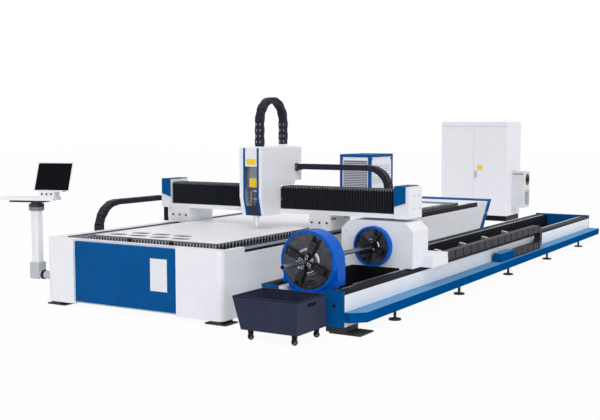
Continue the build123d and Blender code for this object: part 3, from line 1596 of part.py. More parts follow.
# Cooler on the cabinet's right side: fan above, louvred outlet below
cool_x = (cab_x[1], cab_x[1] + cooler_width)
cool_y = (cab_y[0] + cooler_place, cab_y[0] + cooler_place + cooler_depth)
with BuildPart() as cabinet_cooler:
    block(cool_x, cool_y, (cooler_bottom, cooler_bottom + cooler_height))
    chamfer(cabinet_cooler.faces().sort_by(Axis.X)[-1].edges(), cooler_edge)
    fan_y = (cool_y[0] + cool_y[1]) / 2
    fan_z = cooler_bottom + cooler_height - fan_drop
    with BuildSketch(lengthwise(cool_x[1])):
        with Locations((fan_y, fan_z)):
            Circle(fan_radius)
            Circle(fan_hub_radius, mode=Mode.SUBTRACT)
            with PolarLocations(0, fan_blades):
                Rectangle(2 * fan_radius, fan_blade_width, mode=Mode.SUBTRACT)
    extrude(amount=-fan_recess, mode=Mode.SUBTRACT)
    for i in range(grille_slots):
        slot_top = cooler_bottom + cooler_height - grille_drop - grille_pitch * i
        slot_run = (cool_y[0] + fan_recess, cool_y[1] - fan_recess)
        slot_sides = (cool_x[1] - fan_recess, cool_x[1] + overrun)
        block(slot_sides, slot_run, (slot_top - grille_slot, slot_top), mode=Mode.SUBTRACT)
save(cabinet_cooler, "cabinet_cooler")

# Scrap cart: open tub with one sloping end, on four casters
cart_x = (bed_left + cart_left, bed_left + cart_left + cart_width)
cart_y = (bed_front - cart_lead, bed_front - cart_lead + cart_depth)
cart_floor = cart_bottom + cart_wall
with BuildPart() as cart_tub:
    with BuildSketch(upright(cart_y[1])):
        outline(
            (cart_x[0], cart_top),
            (cart_x[0] + cart_slope, cart_bottom),
            (cart_x[1], cart_bottom),
            (cart_x[1], cart_top),
        )
    extrude(amount=cart_depth)
    with BuildSketch(upright(cart_y[1] - cart_wall)):
        outline(
            (cart_x[0] + cart_wall, cart_top + overrun),
            (cart_x[0] + cart_wall, cart_top),
            (cart_x[0] + cart_slope + cart_wall, cart_floor),
            (cart_x[1] - cart_wall, cart_floor),
            (cart_x[1] - cart_wall, cart_top + overrun),
        )
    extrude(amount=cart_depth - 2 * cart_wall, mode=Mode.SUBTRACT)
    with BuildSketch(lengthwise(cart_x[1] - cart_wall - overrun)):
        with Locations(((cart_y[0] + cart_y[1]) / 2, cart_top - hand_slot_drop)):
            SlotOverall(hand_slot_width, hand_slot_height)
    extrude(amount=cart_wall + 2 * overrun, mode=Mode.SUBTRACT)
save(cart_tub, "cart_tub")

with BuildPart() as cart_casters:
    caster_x = (cart_x[0] + cart_slope + caster_inset, cart_x[1] - caster_inset)
    caster_y = (cart_y[0] + caster_inset, cart_y[1] - caster_inset)
    with Locations(*[(x, y, 0) for x in caster_x for y in caster_y]):
        with Locations((0, 0, caster_radius)):
            Cylinder(caster_radius, caster_width, rotation=(90, 0, 0))
            Cylinder(axle_radius, caster_width + 2 * fork_thickness, rotation=(90, 0, 0))
        with Locations((0, 0, cart_bottom - caster_plate_thickness)):
            Box(caster_plate, caster_plate, caster_plate_thickness, align=STANDING)
        for side in (-1, 1):
            fork_y = side * (caster_width + fork_thickness + 2 * seat_gap) / 2
            with Locations((0, fork_y, caster_radius - axle_radius)):
                fork_height = cart_bottom - caster_radius + axle_radius
                Box(caster_radius, fork_thickness, fork_height, align=STANDING)
save(cart_casters, "cart_casters")
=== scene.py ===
"""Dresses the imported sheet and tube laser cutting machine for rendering.

Every length is in metres. The frame's origin is on the floor at the middle of the footprint, with X
across the bed, Y towards the cabinet and Z up. Places are given from the bed's front left corner.
"""

import logging
from dataclasses import dataclass
from enum import Enum
from itertools import product
from math import atan2, cos, hypot, pi, radians, sin, tan
from typing import Iterable, Sequence

import bmesh
import bpy
from mathutils import Matrix, Vector


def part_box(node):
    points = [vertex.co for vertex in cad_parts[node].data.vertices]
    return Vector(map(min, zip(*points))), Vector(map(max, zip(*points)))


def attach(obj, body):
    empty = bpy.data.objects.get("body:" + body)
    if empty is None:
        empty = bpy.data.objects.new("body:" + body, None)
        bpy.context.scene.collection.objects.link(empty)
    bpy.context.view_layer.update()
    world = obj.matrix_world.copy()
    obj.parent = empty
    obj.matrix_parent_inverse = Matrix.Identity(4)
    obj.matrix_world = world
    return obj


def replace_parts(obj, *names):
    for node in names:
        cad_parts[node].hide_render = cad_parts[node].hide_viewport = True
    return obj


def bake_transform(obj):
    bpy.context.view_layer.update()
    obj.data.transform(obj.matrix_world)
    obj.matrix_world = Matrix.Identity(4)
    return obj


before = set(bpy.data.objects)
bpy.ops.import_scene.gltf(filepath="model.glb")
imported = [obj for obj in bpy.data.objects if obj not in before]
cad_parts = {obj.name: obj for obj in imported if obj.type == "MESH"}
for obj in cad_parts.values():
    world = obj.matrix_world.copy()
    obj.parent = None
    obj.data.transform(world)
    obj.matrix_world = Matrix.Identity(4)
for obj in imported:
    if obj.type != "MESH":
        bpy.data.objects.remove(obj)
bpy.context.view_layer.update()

LOG = logging.getLogger("laser_cutter")
Tree = bpy.types.NodeTree
Socket = bpy.types.NodeSocket
Piece = bpy.types.Object
Colour = tuple[float, float, float, float]
Span = tuple[float, float]  # where something starts and ends
Rect = tuple[Span, Span]  # a plate's spans across and upwards
Block = tuple[Span, Span, Span]  # a box's spans along X, Y and Z
Triple = tuple[float, float, float]
Spot = tuple[Vector, Vector]  # a place on a surface and the way out of it

MM = 0.001
WAVE = pi / 10  # a wave texture of this scale repeats once a metre
RIGHT, BACK, UP = Vector((1, 0, 0)), Vector((0, 1, 0)), Vector((0, 0, 1))
# Widths of rounded edges, from foil and small plates to pressed strips and mouldings
FOIL, FINE, SHEET, BAR, SLOT, PRESSED, MOULDED = 0.0003, 0.0006, 0.0008, 0.001, 0.0012, 0.002, 0.003
BED_CORNER = Vector((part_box("rear_panel")[0].x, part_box("bed_frame")[0].y, 0.0))


def at(x: float, y: float, z: float) -> Vector:
    """A point of the machine's frame, given from the bed's front left corner on the floor."""
    return BED_CORNER + Vector((x, y, z))


def reach(node: str) -> tuple[Vector, Vector]:
    """A CAD node's lowest and highest corner, from the bed's front left corner."""
    low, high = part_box(node)
    return low - BED_CORNER, high - BED_CORNER


def spots(x: Iterable[float], y: Iterable[float], z: Iterable[float], out: Vector) -> list[Spot]:
    """Every place that has one of some distances along each axis, all facing one way."""
    return [(at(*place), out) for place in product(x, y, z)]


class Side(Enum):
    """The two sides of something that comes in a left and a right hand."""

    LEFT = -1
    RIGHT = 1


class Lay(Enum):
    """The direction in which a metal was rolled, brushed or ground."""

    ALONG_X = (0.02, 1.0, 1.0)
    ALONG_Y = (1.0, 0.02, 1.0)
    ALONG_Z = (1.0, 1.0, 0.02)
    NONE = (1.0, 1.0, 1.0)


# Finishes


def linear(hex_colour: str) -> Colour:
    """Turn an sRGB hex colour into the linear colour that a shader takes.

    Args:
        hex_colour: Six hex digits after a hash sign.

    Returns:
        Linear red, green, blue and an alpha of one.
    """
    parts = [int(hex_colour[i : i + 2], 16) / 255 for i in (1, 3, 5)]
    lin = [v / 12.92 if v <= 0.04045 else ((v + 0.055) / 1.055) ** 2.4 for v in parts]
    return (lin[0], lin[1], lin[2], 1.0)


def shaded(hex_colour: str, share: float) -> Colour:
    """A linear colour made darker or lighter by a share of itself."""
    return tuple(min(1.0, v * (1.0 + share)) for v in linear(hex_colour)[:3]) + (1.0,)


def per_metre(size_mm: float) -> float:
    """Texture scale for a pattern whose features are a number of millimetres wide."""
    return 1.0 / (size_mm * MM)


def add_node(tree: Tree, kind: str, settings: dict | None = None, **links: Socket) -> bpy.types.Node:
    """Add a shader node, set its values and link its inputs.

    Args:
        tree: The node tree that gets the node.
        kind: The node's type name, without ShaderNode before it.
        settings: Attributes and input values, by name; an input's name may be its index as "#2".
        links: Inputs and the output sockets they take. An input is named with its spaces as
            underscores, or by its index as in2.

    Returns:
        The new node.
    """
    node = tree.nodes.new(f"ShaderNode{kind}")
    for key, value in (settings or {}).items():
        if key.startswith("#"):
            node.inputs[int(key[1:])].default_value = value
        elif key in node.inputs:
            node.inputs[key].default_value = value
        else:
            setattr(node, key, value)
    for key, socket in links.items():
        target = node.inputs[int(key[2:]) if key.startswith("in") else key.replace("_", " ")]
        tree.links.new(socket, target)
    return node


def patchy(tree: Tree, colour: str, wander: float, fac: Socket) -> Socket:
    """A colour that wanders a little darker and lighter, in patches."""
    tones = {"data_type": "RGBA", "#6": shaded(colour, -wander), "#7": shaded(colour, wander)}
    return add_node(tree, "Mix", tones, in0=fac).outputs[2]


def larger(tree: Tree, first: Socket, second: Socket) -> Socket:
    """The larger of two values."""
    return add_node(tree, "Math", {"operation": "MAXIMUM"}, in0=first, in1=second).outputs["Value"]


@dataclass(frozen=True)
class Finish:
    """A surface with a grainy colour, an uneven gloss and a fine relief.

    Fields give the name, colour, how far the colour wanders, the size of its patches in mm,
    roughness, its spread, metallic share, the relief's size in mm and height, its lay, the sheen
    of cloth and the strength of mirrored light.
    """

    name: str
    colour: str
    wander: float = 0.05
    patch_mm: float = 90.0
    roughness: float = 0.45
    spread: float = 0.08
    metallic: float = 0.0
    relief_mm: float = 6.0
    relief: float = 0.04
    lay: Lay = Lay.NONE
    sheen: float = 0.0
    specular: float = 0.5

    def material(self) -> bpy.types.Material:
        """The finish as a material, made once and then shared."""
        known = bpy.data.materials.get(self.name)
        if known:
            return known
        made = bpy.data.materials.new(self.name)
        made.use_nodes = True
        tree = made.node_tree
        inputs = tree.nodes["Principled BSDF"].inputs
        inputs["Metallic"].default_value = self.metallic
        inputs["Sheen Weight"].default_value = self.sheen
        inputs["Specular IOR Level"].default_value = self.specular
        where = add_node(tree, "TexCoord").outputs["Object"]
        grain = add_node(tree, "Mapping", {"Scale": self.lay.value}, Vector=where).outputs["Vector"]
        noise = {"Scale": per_metre(self.patch_mm), "Detail": 6.0, "Roughness": 0.6}
        patches = add_node(tree, "TexNoise", noise, Vector=grain).outputs["Fac"]
        contrast = {"From Min": 0.3, "From Max": 0.7}
        wear = add_node(tree, "MapRange", contrast, Value=patches).outputs["Result"]
        tree.links.new(self.tint(tree, where, wear), inputs["Base Color"])
        low, high = max(0.03, self.roughness - self.spread), self.roughness + self.spread
        gloss = add_node(tree, "MapRange", {"To Min": low, "To Max": high}, Value=wear)
        tree.links.new(gloss.outputs["Result"], inputs["Roughness"])
        depth = {"Strength": self.relief, "Distance": self.relief_mm * MM}
        bump = add_node(tree, "Bump", depth, Height=self.height(tree, where, grain))
        tree.links.new(bump.outputs["Normal"], inputs["Normal"])
        return made

    def tint(self, tree: Tree, where: Socket, fac: Socket) -> Socket:
        """The surface's colour, in patches."""
        return patchy(tree, self.colour, self.wander, fac)

    def height(self, tree: Tree, where: Socket, grain: Socket) -> Socket:
        """The relief's height: grain of the finish's own size."""
        noise = {"Scale": per_metre(self.relief_mm), "Detail": 3.0}
        return add_node(tree, "TexNoise", noise, Vector=grain).outputs["Fac"]


@dataclass(frozen=True)
class TurnedFinish(Finish):
    """Steel faced on a lathe: rings about an axis along Y, with a mottled oil film."""

    centre: tuple[float, ...] = (0.0, 0.0, 0.0)
    ring_mm: float = 30.0  # real rings are under 1 mm; drawn this coarse so that they show

    def height(self, tree: Tree, where: Socket, grain: Socket) -> Socket:
        """Rings about the lathe's axis."""
        shift = {"Location": tuple(-v for v in self.centre)}
        moved = add_node(tree, "Mapping", shift, Vector=where).outputs["Vector"]
        rings = {"wave_type": "RINGS", "rings_direction": "Y", "Distortion": 1.2}
        rings["Scale"] = per_metre(self.ring_mm) * WAVE
        return add_node(tree, "TexWave", rings, Vector=moved).outputs["Fac"]


@dataclass(frozen=True)
class WovenFinish(Finish):
    """Coated cloth: two crossed sets of threads under a dull skin."""

    thread_mm: float = 9.0  # real threads are under 1 mm; drawn this coarse so that they show

    def height(self, tree: Tree, where: Socket, grain: Socket) -> Socket:
        """Crossed threads."""
        size = per_metre(self.thread_mm) * WAVE
        warp, weft = (
            add_node(tree, "TexWave", {"bands_direction": way, "Scale": size}, Vector=where).outputs["Fac"]
            for way in ("X", "Z")
        )
        return larger(tree, warp, weft)


@dataclass(frozen=True)
class BandedFinish(Finish):
    """A piece whose colour changes at levels along one axis, such as a collar on a post.

    The bands hold a level in metres and the colour that starts there, from low to high.
    """

    bands: tuple[tuple[float, str], ...] = ()
    axis: int = 2

    def tint(self, tree: Tree, where: Socket, fac: Socket) -> Socket:
        """The first colour below every level and then each band's own, all in patches."""
        along = add_node(tree, "SeparateXYZ", Vector=where).outputs[self.axis]
        colour = Finish.tint(self, tree, where, fac)
        for level, tone in self.bands:
            step = {"operation": "GREATER_THAN", "#1": level}
            above = add_node(tree, "Math", step, in0=along).outputs["Value"]
            band = patchy(tree, tone, self.wander, fac)
            mix = add_node(tree, "Mix", {"data_type": "RGBA"}, in0=above, in6=colour, in7=band)
            colour = mix.outputs[2]
        return colour


TUBE_MIDDLE = sum(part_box("tube"), Vector()) / 2
CHUCK_AXIS = Vector((TUBE_MIDDLE.x, BED_CORNER.y, TUBE_MIDDLE.z))
LATHE = tuple(CHUCK_AXIS)

# Powder coat on sheet steel: baked polyester, a soft gloss with faint orange peel
WHITE_COAT = Finish("powder_coat_white", "#E9EAF0", 0.025, 160.0, 0.42, 0.06, 0.0, 9.0, 0.03)
CABINET_COAT = Finish("powder_coat_cabinet", "#E6E6EC", 0.02, 220.0, 0.5, 0.06, 0.0, 7.0, 0.04)
COOLER_COAT = Finish("powder_coat_cooler", "#CFD0D6", 0.03, 120.0, 0.5, 0.06, 0.0, 7.0, 0.04)
# Darker powder coats: even and dull, so that they stay deep under a bright sky
BLUE_COAT = Finish("powder_coat_blue", "#00518F", 0.1, 240.0, 0.5, 0.06, 0.0, 9.0, 0.03, specular=0.06)
BLACK_COAT = Finish("powder_coat_black", "#17181D", 0.2, 60.0, 0.5, 0.08, 0.0, 6.0, 0.05, specular=0.1)
SLATE_COAT = Finish("powder_coat_slate", "#2C3146", 0.12, 90.0, 0.5, 0.08, 0.0, 6.0, 0.05, specular=0.1)
FOOT_COAT = Finish("bolted_foot_coat", "#1B1C1F", 0.25, 30.0, 0.6, 0.1, 0.0, 5.0, 0.1)
# Lacquer over the powder coat of the low flange: deep blue; the pale bands on the faces that look up are
# painted highlight, the light those faces catch painted into the colour
FLANGE_BLUE_PAINTED_TOP_LIGHT = BandedFinish(
    *("lacquered_blue", "#004C8A", 0.05, 400.0, 0.3, 0.03, 0.0, 12.0, 0.004),
    specular=0.0,
    # pale bands at the flange's top face and at the bracket's top: painted highlight
    bands=((0.1925, "#6C9FC9"), (0.1935, "#004C8A"), (0.2925, "#6C9FC9")),
)
# Gloss enamel on the chuck bodies: wet look, bright highlights
CHUCK_BLUE = Finish("enamel_blue", "#0057BE", 0.2, 45.0, 0.24, 0.1, 0.0, 14.0, 0.12, specular=0.05)
# Cold rolled steel sheet: pale and matt, with faint streaks along the rolling direction
SHEET_STEEL = Finish("rolled_steel", "#F0F1F5", 0.05, 70.0, 0.4, 0.1, 0.15, 5.0, 0.03, Lay.ALONG_X)
# Ground and drawn steel of rails, bars and tube: a clear gleam with fine lines along the length
RAIL_STEEL = Finish("ground_steel", "#9EA2AA", 0.1, 30.0, 0.3, 0.08, 0.9, 3.0, 0.06, Lay.ALONG_Y)
BAR_STEEL = Finish("bright_bar_steel", "#C6CAD0", 0.12, 40.0, 0.3, 0.1, 0.8, 4.0, 0.05, Lay.ALONG_X)
TUBE_STEEL = Finish("drawn_steel_tube", "#8E9098", 0.1, 25.0, 0.26, 0.06, 0.9, 2.0, 0.03, Lay.ALONG_Y)
# Laser cut mild steel of the slats: pale grey, heat marks in patches
SLAT_STEEL = Finish("cut_steel", "#A4A6AC", 0.2, 40.0, 0.5, 0.12, 0.4, 4.0, 0.1)
# Turned steel of the chucks' faces: dark and mottled with oil; of their arcs: bright, fine rings
CHUCK_STEEL = TurnedFinish("faced_steel", "#4A4B54", 0.45, 42.0, 0.36, 0.12, 0.8, 7.0, 0.12, centre=LATHE)
BRIGHT_STEEL = TurnedFinish(
    *("polished_steel", "#9B9DA3", 0.1, 30.0, 0.2, 0.05, 0.95, 4.0, 0.04), centre=LATHE, ring_mm=14.0
)
# Steel blackened in a hot bath: jaws and guides, near black with a dull gleam, paler where worn
JAW_STEEL = Finish("blackened_steel", "#1B1B20", 0.4, 26.0, 0.42, 0.12, 0.5, 4.0, 0.1)
RIB_STEEL = Finish("worn_black_steel", "#44454D", 0.4, 16.0, 0.36, 0.1, 0.6, 3.0, 0.1)
# Machined aluminium of the cutting head and its slide: fine, even, slightly satin
NOZZLE_ALLOY = BandedFinish(
    *("turned_aluminium", "#E6E8EC", 0.06, 18.0, 0.3, 0.08, 0.4, 2.0, 0.05, Lay.ALONG_Z),
    bands=((0.90, "#5C5E66"),),
)
HEAD_ALLOY = Finish("anodised_aluminium", "#33353E", 0.12, 18.0, 0.4, 0.08, 0.5, 2.0, 0.05, Lay.ALONG_Z)
# Sand cast aluminium of the door handle: grainy, a broad soft gleam
CAST_ALLOY = Finish("cast_aluminium", "#B4B6BB", 0.14, 14.0, 0.5, 0.1, 0.55, 3.0, 0.2)
# Zinc plated steel of the window's back plate: mottled spangle of pale and dark grains
SPANGLE_ZINC = Finish("spangled_zinc", "#85888F", 0.75, 12.0, 0.35, 0.12, 0.5, 4.0, 0.1)
# Coated polyester cloth of the pleated covers: near black, dull, faint weave
PLEAT_CLOTH = WovenFinish(
    *("coated_cloth", "#0F121C", 0.25, 50.0, 0.55, 0.1, 0.0, 5.0, 0.12), sheen=0.05, specular=0.25
)
# Pale grey strips over each fold of the covers: painted highlight on the crests' front top corners, mid grey,
# smooth
PLEAT_HIGHLIGHT_GREY = Finish("welded_pvc_edge", "#9EA0A9", 0.15, 20.0, 0.4, 0.08, 0.0, 3.0, 0.05)
# Glass filled nylon of the cable chains: dark grey, matt, speckled
CHAIN_NYLON = Finish("filled_nylon", "#2A2A36", 0.22, 12.0, 0.45, 0.1, 0.0, 3.0, 0.06, specular=0.09)
# Textured ABS mouldings: even, with a fine pebble
CASE_PLASTIC = Finish("textured_abs", "#E3E4E8", 0.03, 40.0, 0.5, 0.05, 0.0, 2.5, 0.08)
BLACK_PLASTIC = Finish("moulded_black_abs", "#131418", 0.2, 20.0, 0.35, 0.08, 0.0, 3.0, 0.05)
# Rubber of tyres and liners: dark and dusty, with no gleam
RUBBER = Finish("moulded_rubber", "#232428", 0.18, 18.0, 0.7, 0.08, 0.0, 3.0, 0.12)
# Stove enamel on grilles, housings and plates: even colour, a soft gloss
GRILLE_GREY = Finish("grille_enamel", "#C2C3CA", 0.1, 25.0, 0.48, 0.08, 0.1, 4.0, 0.06)
GRILLE_DARK = Finish("grille_recess_enamel", "#5E6169", 0.2, 25.0, 0.55, 0.08, 0.0, 4.0, 0.06)
LASER_GREY = Finish("housing_enamel", "#8F949B", 0.06, 60.0, 0.45, 0.06, 0.0, 5.0, 0.05)
YELLOW_PLATE = Finish("plate_enamel_yellow", "#F2C814", 0.05, 30.0, 0.4, 0.05, 0.0, 4.0, 0.03)
WHITE_PLATE = Finish("plate_enamel_white", "#E4E5E9", 0.03, 30.0, 0.4, 0.05, 0.0, 4.0, 0.03)
# Float glass over a dark display: black, mirror smooth
SCREEN_GLASS = Finish("screen_glass", "#07080C", 0.3, 260.0, 0.12, 0.05, 0.0, 30.0, 0.01, specular=0.06)
# Screws: one kind blackened with oxide, the other plated with zinc
SCREW_BLACK = Finish("oxide_screw", "#18191C", 0.2, 6.0, 0.4, 0.1, 0.6, 1.5, 0.1)
SCREW_ZINC = Finish("zinc_screw", "#A9ADB3", 0.15, 6.0, 0.35, 0.1, 0.9, 1.5, 0.1)
# The console's post and tray: pale coat with a grey collar and black fittings
POST_COAT = BandedFinish(
    *("post_coat", "#E6E7EC", 0.03, 80.0, 0.42, 0.06, 0.0, 6.0, 0.03),
    bands=((0.915, "#7C7E86"), (0.952, "#1B1C20")),
)
TRAY_COAT = BandedFinish(
    *("tray_coat", "#17181C", 0.04, 80.0, 0.45, 0.06, 0.0, 6.0, 0.03), bands=((1.0232, "#E7E8ED"),)
)
# Cast elbow of the console: grainy grey with a black ring round it
ELBOW_COAT = BandedFinish(
    *("elbow_casting", "#B9BBC1", 0.1, 14.0, 0.5, 0.1, 0.2, 3.0, 0.15),
    bands=((BED_CORNER.x - 0.17, "#1A1B1E"), (BED_CORNER.x - 0.135, "#B9BBC1")),
    axis=0,
)
# Folded covers over the rails: dull black with a pale band along their sides
COVER_COAT = BandedFinish(
    *("rail_cover_strip", "#17181D", 0.15, 60.0, 0.55, 0.08, 0.0, 6.0, 0.05, Lay.ALONG_Y),
    specular=0.08,
    bands=((0.645, "#A3A5AC"), (0.672, "#1C1D22")),
)

FINISHED_NODES: tuple[tuple[Finish, str], ...] = (
    (WHITE_COAT, "bed_frame tube_bed gantry_beam gantry_end_covers head_cover"),
    (WHITE_COAT, "headstock_housing chiller_panels"),
    (BLUE_COAT, "front_panel rear_panel tube_bed_end_plates chiller_frame gantry_end_panels"),
    (BLACK_COAT, "table_frame cabinet_plinth gantry_motors"),
    (SLATE_COAT, "cart_tub carriage_plate"),
    (CABINET_COAT, "cabinet_body left_door right_door"),
    (COOLER_COAT, "cabinet_cooler"),
    (FOOT_COAT, "feet"),
    (FLANGE_BLUE_PAINTED_TOP_LIGHT, "tube_bed_flange"),
    (COVER_COAT, "rail_covers"),
    (CHUCK_BLUE, "front_chuck_drum rear_chuck_rim"),
    (CHUCK_STEEL, "front_chuck_face rear_chuck_face"),
    (SHEET_STEEL, "sheet_blank"),
    (RAIL_STEEL, "linear_rails beam_rails"),
    (BAR_STEEL, "tube_supports"),
    (TUBE_STEEL, "tube"),
    (HEAD_ALLOY, "z_plate"),
    (NOZZLE_ALLOY, "cutting_head"),
    (CAST_ALLOY, "door_handle"),
    (LASER_GREY, "laser_source"),
    (ELBOW_COAT, "console_elbow"),
    (POST_COAT, "console_post"),
    (TRAY_COAT, "console_tray"),
    (CASE_PLASTIC, "monitor_case"),
    (RUBBER, "cart_casters"),
)


def dress_nodes() -> None:
    """Give every CAD node its finish; buttons and the nodes that are replaced are moulded black."""
    finishes = {node: finish for finish, nodes in FINISHED_NODES for node in nodes.split()}
    for name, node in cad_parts.items():
        finish = JAW_STEEL if "_jaw_" in name else finishes.get(name, BLACK_PLASTIC)
        node.data.materials.clear()
        node.data.materials.append(finish.material())


# Modelling


class Solid:
    """A mesh under construction, made of shapes that are added one after another."""

    def __init__(self) -> None:
        """Start empty."""
        self.mesh = bmesh.new()

    def _round(self, edges: Iterable[bmesh.types.BMEdge], width: float, segments: int) -> None:
        """Round some edges, each of them once."""
        if width > 0.0:
            shape = {"offset": width, "offset_type": "OFFSET", "segments": segments, "profile": 0.5}
            geom = list(dict.fromkeys(edges))
            bmesh.ops.bevel(self.mesh, geom=geom, affect="EDGES", clamp_overlap=True, material=-1, **shape)

    def _outline(self, profile: Sequence[Span], origin: Vector, axis: Vector, side: Vector) -> list:
        """Add a closed outline of distances along an axis and radii to one side of it."""
        verts = [self.mesh.verts.new(origin + axis * d + side * r) for d, r in profile]
        return verts + [self.mesh.edges.new(pair) for pair in zip(verts, verts[1:] + verts[:1])]

    def box(
        self, low: Vector, high: Vector, bevel: float = SHEET, segments: int = 1, turn: Matrix | None = None
    ) -> "Solid":
        """Add a box between two corners.

        Args:
            low: The lowest corner.
            high: The highest corner.
            bevel: Width of its rounded edges.
            segments: Steps across a rounded edge.
            turn: A rotation about the box's own middle.

        Returns:
            This solid.
        """
        size = Matrix.Diagonal((*(high - low), 1.0))
        place = Matrix.Translation((low + high) / 2) @ (turn or Matrix()) @ size
        made = bmesh.ops.create_cube(self.mesh, size=1.0, matrix=place)
        self._round((e for v in made["verts"] for e in v.link_edges), bevel, segments)
        return self

    def block(self, x: Span, y: Span, z: Span, bevel: float = SHEET, segments: int = 1) -> "Solid":
        """Add a box given by its spans from the bed's corner, rounded as in box."""
        return self.box(at(x[0], y[0], z[0]), at(x[1], y[1], z[1]), bevel, segments)

    def stack(self, low: Vector, size: Vector, pitch: float, count: int, bevel: float) -> "Solid":
        """Add equal boxes one above another.

        Args:
            low: The first box's lowest corner.
            size: A box's size.
            pitch: From one box to the next.
            count: How many there are.
            bevel: Width of their rounded edges.

        Returns:
            This solid.
        """
        for i in range(count):
            start = low + UP * (pitch * i)
            self.box(start, start + size, bevel)
        return self

    def rod(
        self, start: Vector, end: Vector, radius: float, sides: int, bevel: float = 0.0, tip: float = -1.0
    ) -> "Solid":
        """Add a round bar between two points.

        Args:
            start: Middle of its first end.
            end: Middle of its other end.
            radius: Radius at the first end.
            sides: Number of flat sides round it.
            bevel: Width of the rounded rims.
            tip: Radius at the other end, or below zero if it is the same.

        Returns:
            This solid.
        """
        run = end - start
        place = Matrix.Translation((start + end) / 2) @ run.to_track_quat("Z", "Y").to_matrix().to_4x4()
        shape = {"segments": sides, "radius1": radius, "radius2": radius if tip < 0.0 else tip}
        made = bmesh.ops.create_cone(self.mesh, cap_ends=True, depth=run.length, matrix=place, **shape)
        edges = (e for v in made["verts"] for e in v.link_edges)
        self._round((e for e in edges if any(len(f.verts) > 4 for f in e.link_faces)), bevel, 2)
        return self

    def prism(self, outline: Iterable[Vector], sweep: Vector) -> "Solid":
        """Add a flat outline swept along a line.

        Args:
            outline: Corners in order.
            sweep: How far and which way it is swept.

        Returns:
            This solid.
        """
        face = self.mesh.faces.new([self.mesh.verts.new(p) for p in outline])
        made = bmesh.ops.extrude_face_region(self.mesh, geom=[face])
        far = [g for g in made["geom"] if isinstance(g, bmesh.types.BMVert)]
        bmesh.ops.translate(self.mesh, verts=far, vec=sweep)
        shell = dict.fromkeys([face, *(f for v in far for f in v.link_faces)])
        bmesh.ops.recalc_face_normals(self.mesh, faces=list(shell))
        return self

    def turned(self, profile: Sequence[Span], origin: Vector, axis: Vector, steps: int) -> "Solid":
        """Add a shape turned about an axis.

        Args:
            profile: Pairs of distance along the axis and radius, as a closed outline.
            origin: A point on the axis, where distances start.
            axis: The axis, of length one.
            steps: Steps in a full turn.

        Returns:
            This solid.
        """
        geom = self._outline(profile, origin, axis, axis.orthogonal().normalized())
        turn = {"cent": origin, "axis": axis, "angle": 2 * pi, "steps": steps}
        bmesh.ops.spin(self.mesh, geom=geom, use_merge=True, **turn)
        bmesh.ops.remove_doubles(self.mesh, verts=self.mesh.verts, dist=1e-6)
        bmesh.ops.recalc_face_normals(self.mesh, faces=self.mesh.faces)
        return self

    def swung(
        self, profile: Sequence[Span], origin: Vector, start: float, sweep: float, steps: int
    ) -> "Solid":
        """Add a shape swung part of a turn about an axis along Y, closed at both ends.

        Args:
            profile: Pairs of distance along the axis and radius, as a closed outline.
            origin: A point on the axis, where distances start.
            start: The angle at which it starts, in degrees from X towards Z.
            sweep: The angle that it covers.
            steps: Steps in that angle.

        Returns:
            This solid.
        """
        geom = self._outline(profile, origin, BACK, Matrix.Rotation(-radians(start), 3, "Y") @ RIGHT)
        bmesh.ops.spin(self.mesh, geom=geom, cent=origin, axis=BACK, angle=-radians(sweep), steps=steps)
        bmesh.ops.holes_fill(self.mesh, edges=[e for e in self.mesh.edges if e.is_boundary], sides=0)
        bmesh.ops.recalc_face_normals(self.mesh, faces=self.mesh.faces)
        return self

    def piece(self, name: str, finish: Finish, body: str | None, slot: str | None = None) -> Piece:
        """Finish the solid as an object of the scene.

        Args:
            name: The piece's name.
            finish: Its surface.
            body: The body it rides on, or None to leave it unattached.
            slot: Not used.

        Returns:
            The new object.
        """
        data = bpy.data.meshes.new(name)
        self.mesh.to_mesh(data)
        self.mesh.free()
        data.materials.append(finish.material())
        made = bpy.data.objects.new(name, data)
        bpy.context.scene.collection.objects.link(made)
        if body:
            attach(made, body)
        LOG.info("%s: %d faces on %s", name, len(data.polygons), body)
        return made


def smooth(piece: Piece, angle: float = 35.0) -> Piece:
    """Shade a piece smooth, apart from edges sharper than an angle in degrees."""
    piece.data.shade_smooth()
    piece.data.set_sharp_from_angle(angle=radians(angle))
    return piece


@dataclass
class Screws:
    """Round screw heads on one body, each with a sloped rim and a hexagon on top.

    The last four fields are shares: of the height where the slope starts, of the radius at the
    slope's top, and the hexagon's of the radius and of the height.
    """

    name: str
    body: str
    places: list[Spot]
    radius: float = 0.008
    tall: float = 0.004
    finish: Finish = SCREW_BLACK
    rim: float = 0.6
    crown: float = 0.75
    hexagon: float = 0.45
    hexagon_rise: float = 0.02

    def build(self) -> None:
        """Make the heads."""
        heads = Solid()
        for place, out in self.places:
            rim, top = place + out * (self.tall * self.rim), place + out * self.tall
            heads.rod(place, rim, self.radius, 12)
            heads.rod(rim, top, self.radius, 12, tip=self.radius * self.crown)
            heads.rod(top, top + out * (self.tall * self.hexagon_rise), self.radius * self.hexagon, 6)
        heads.piece(self.name, self.finish, self.body)


# Sub-assemblies


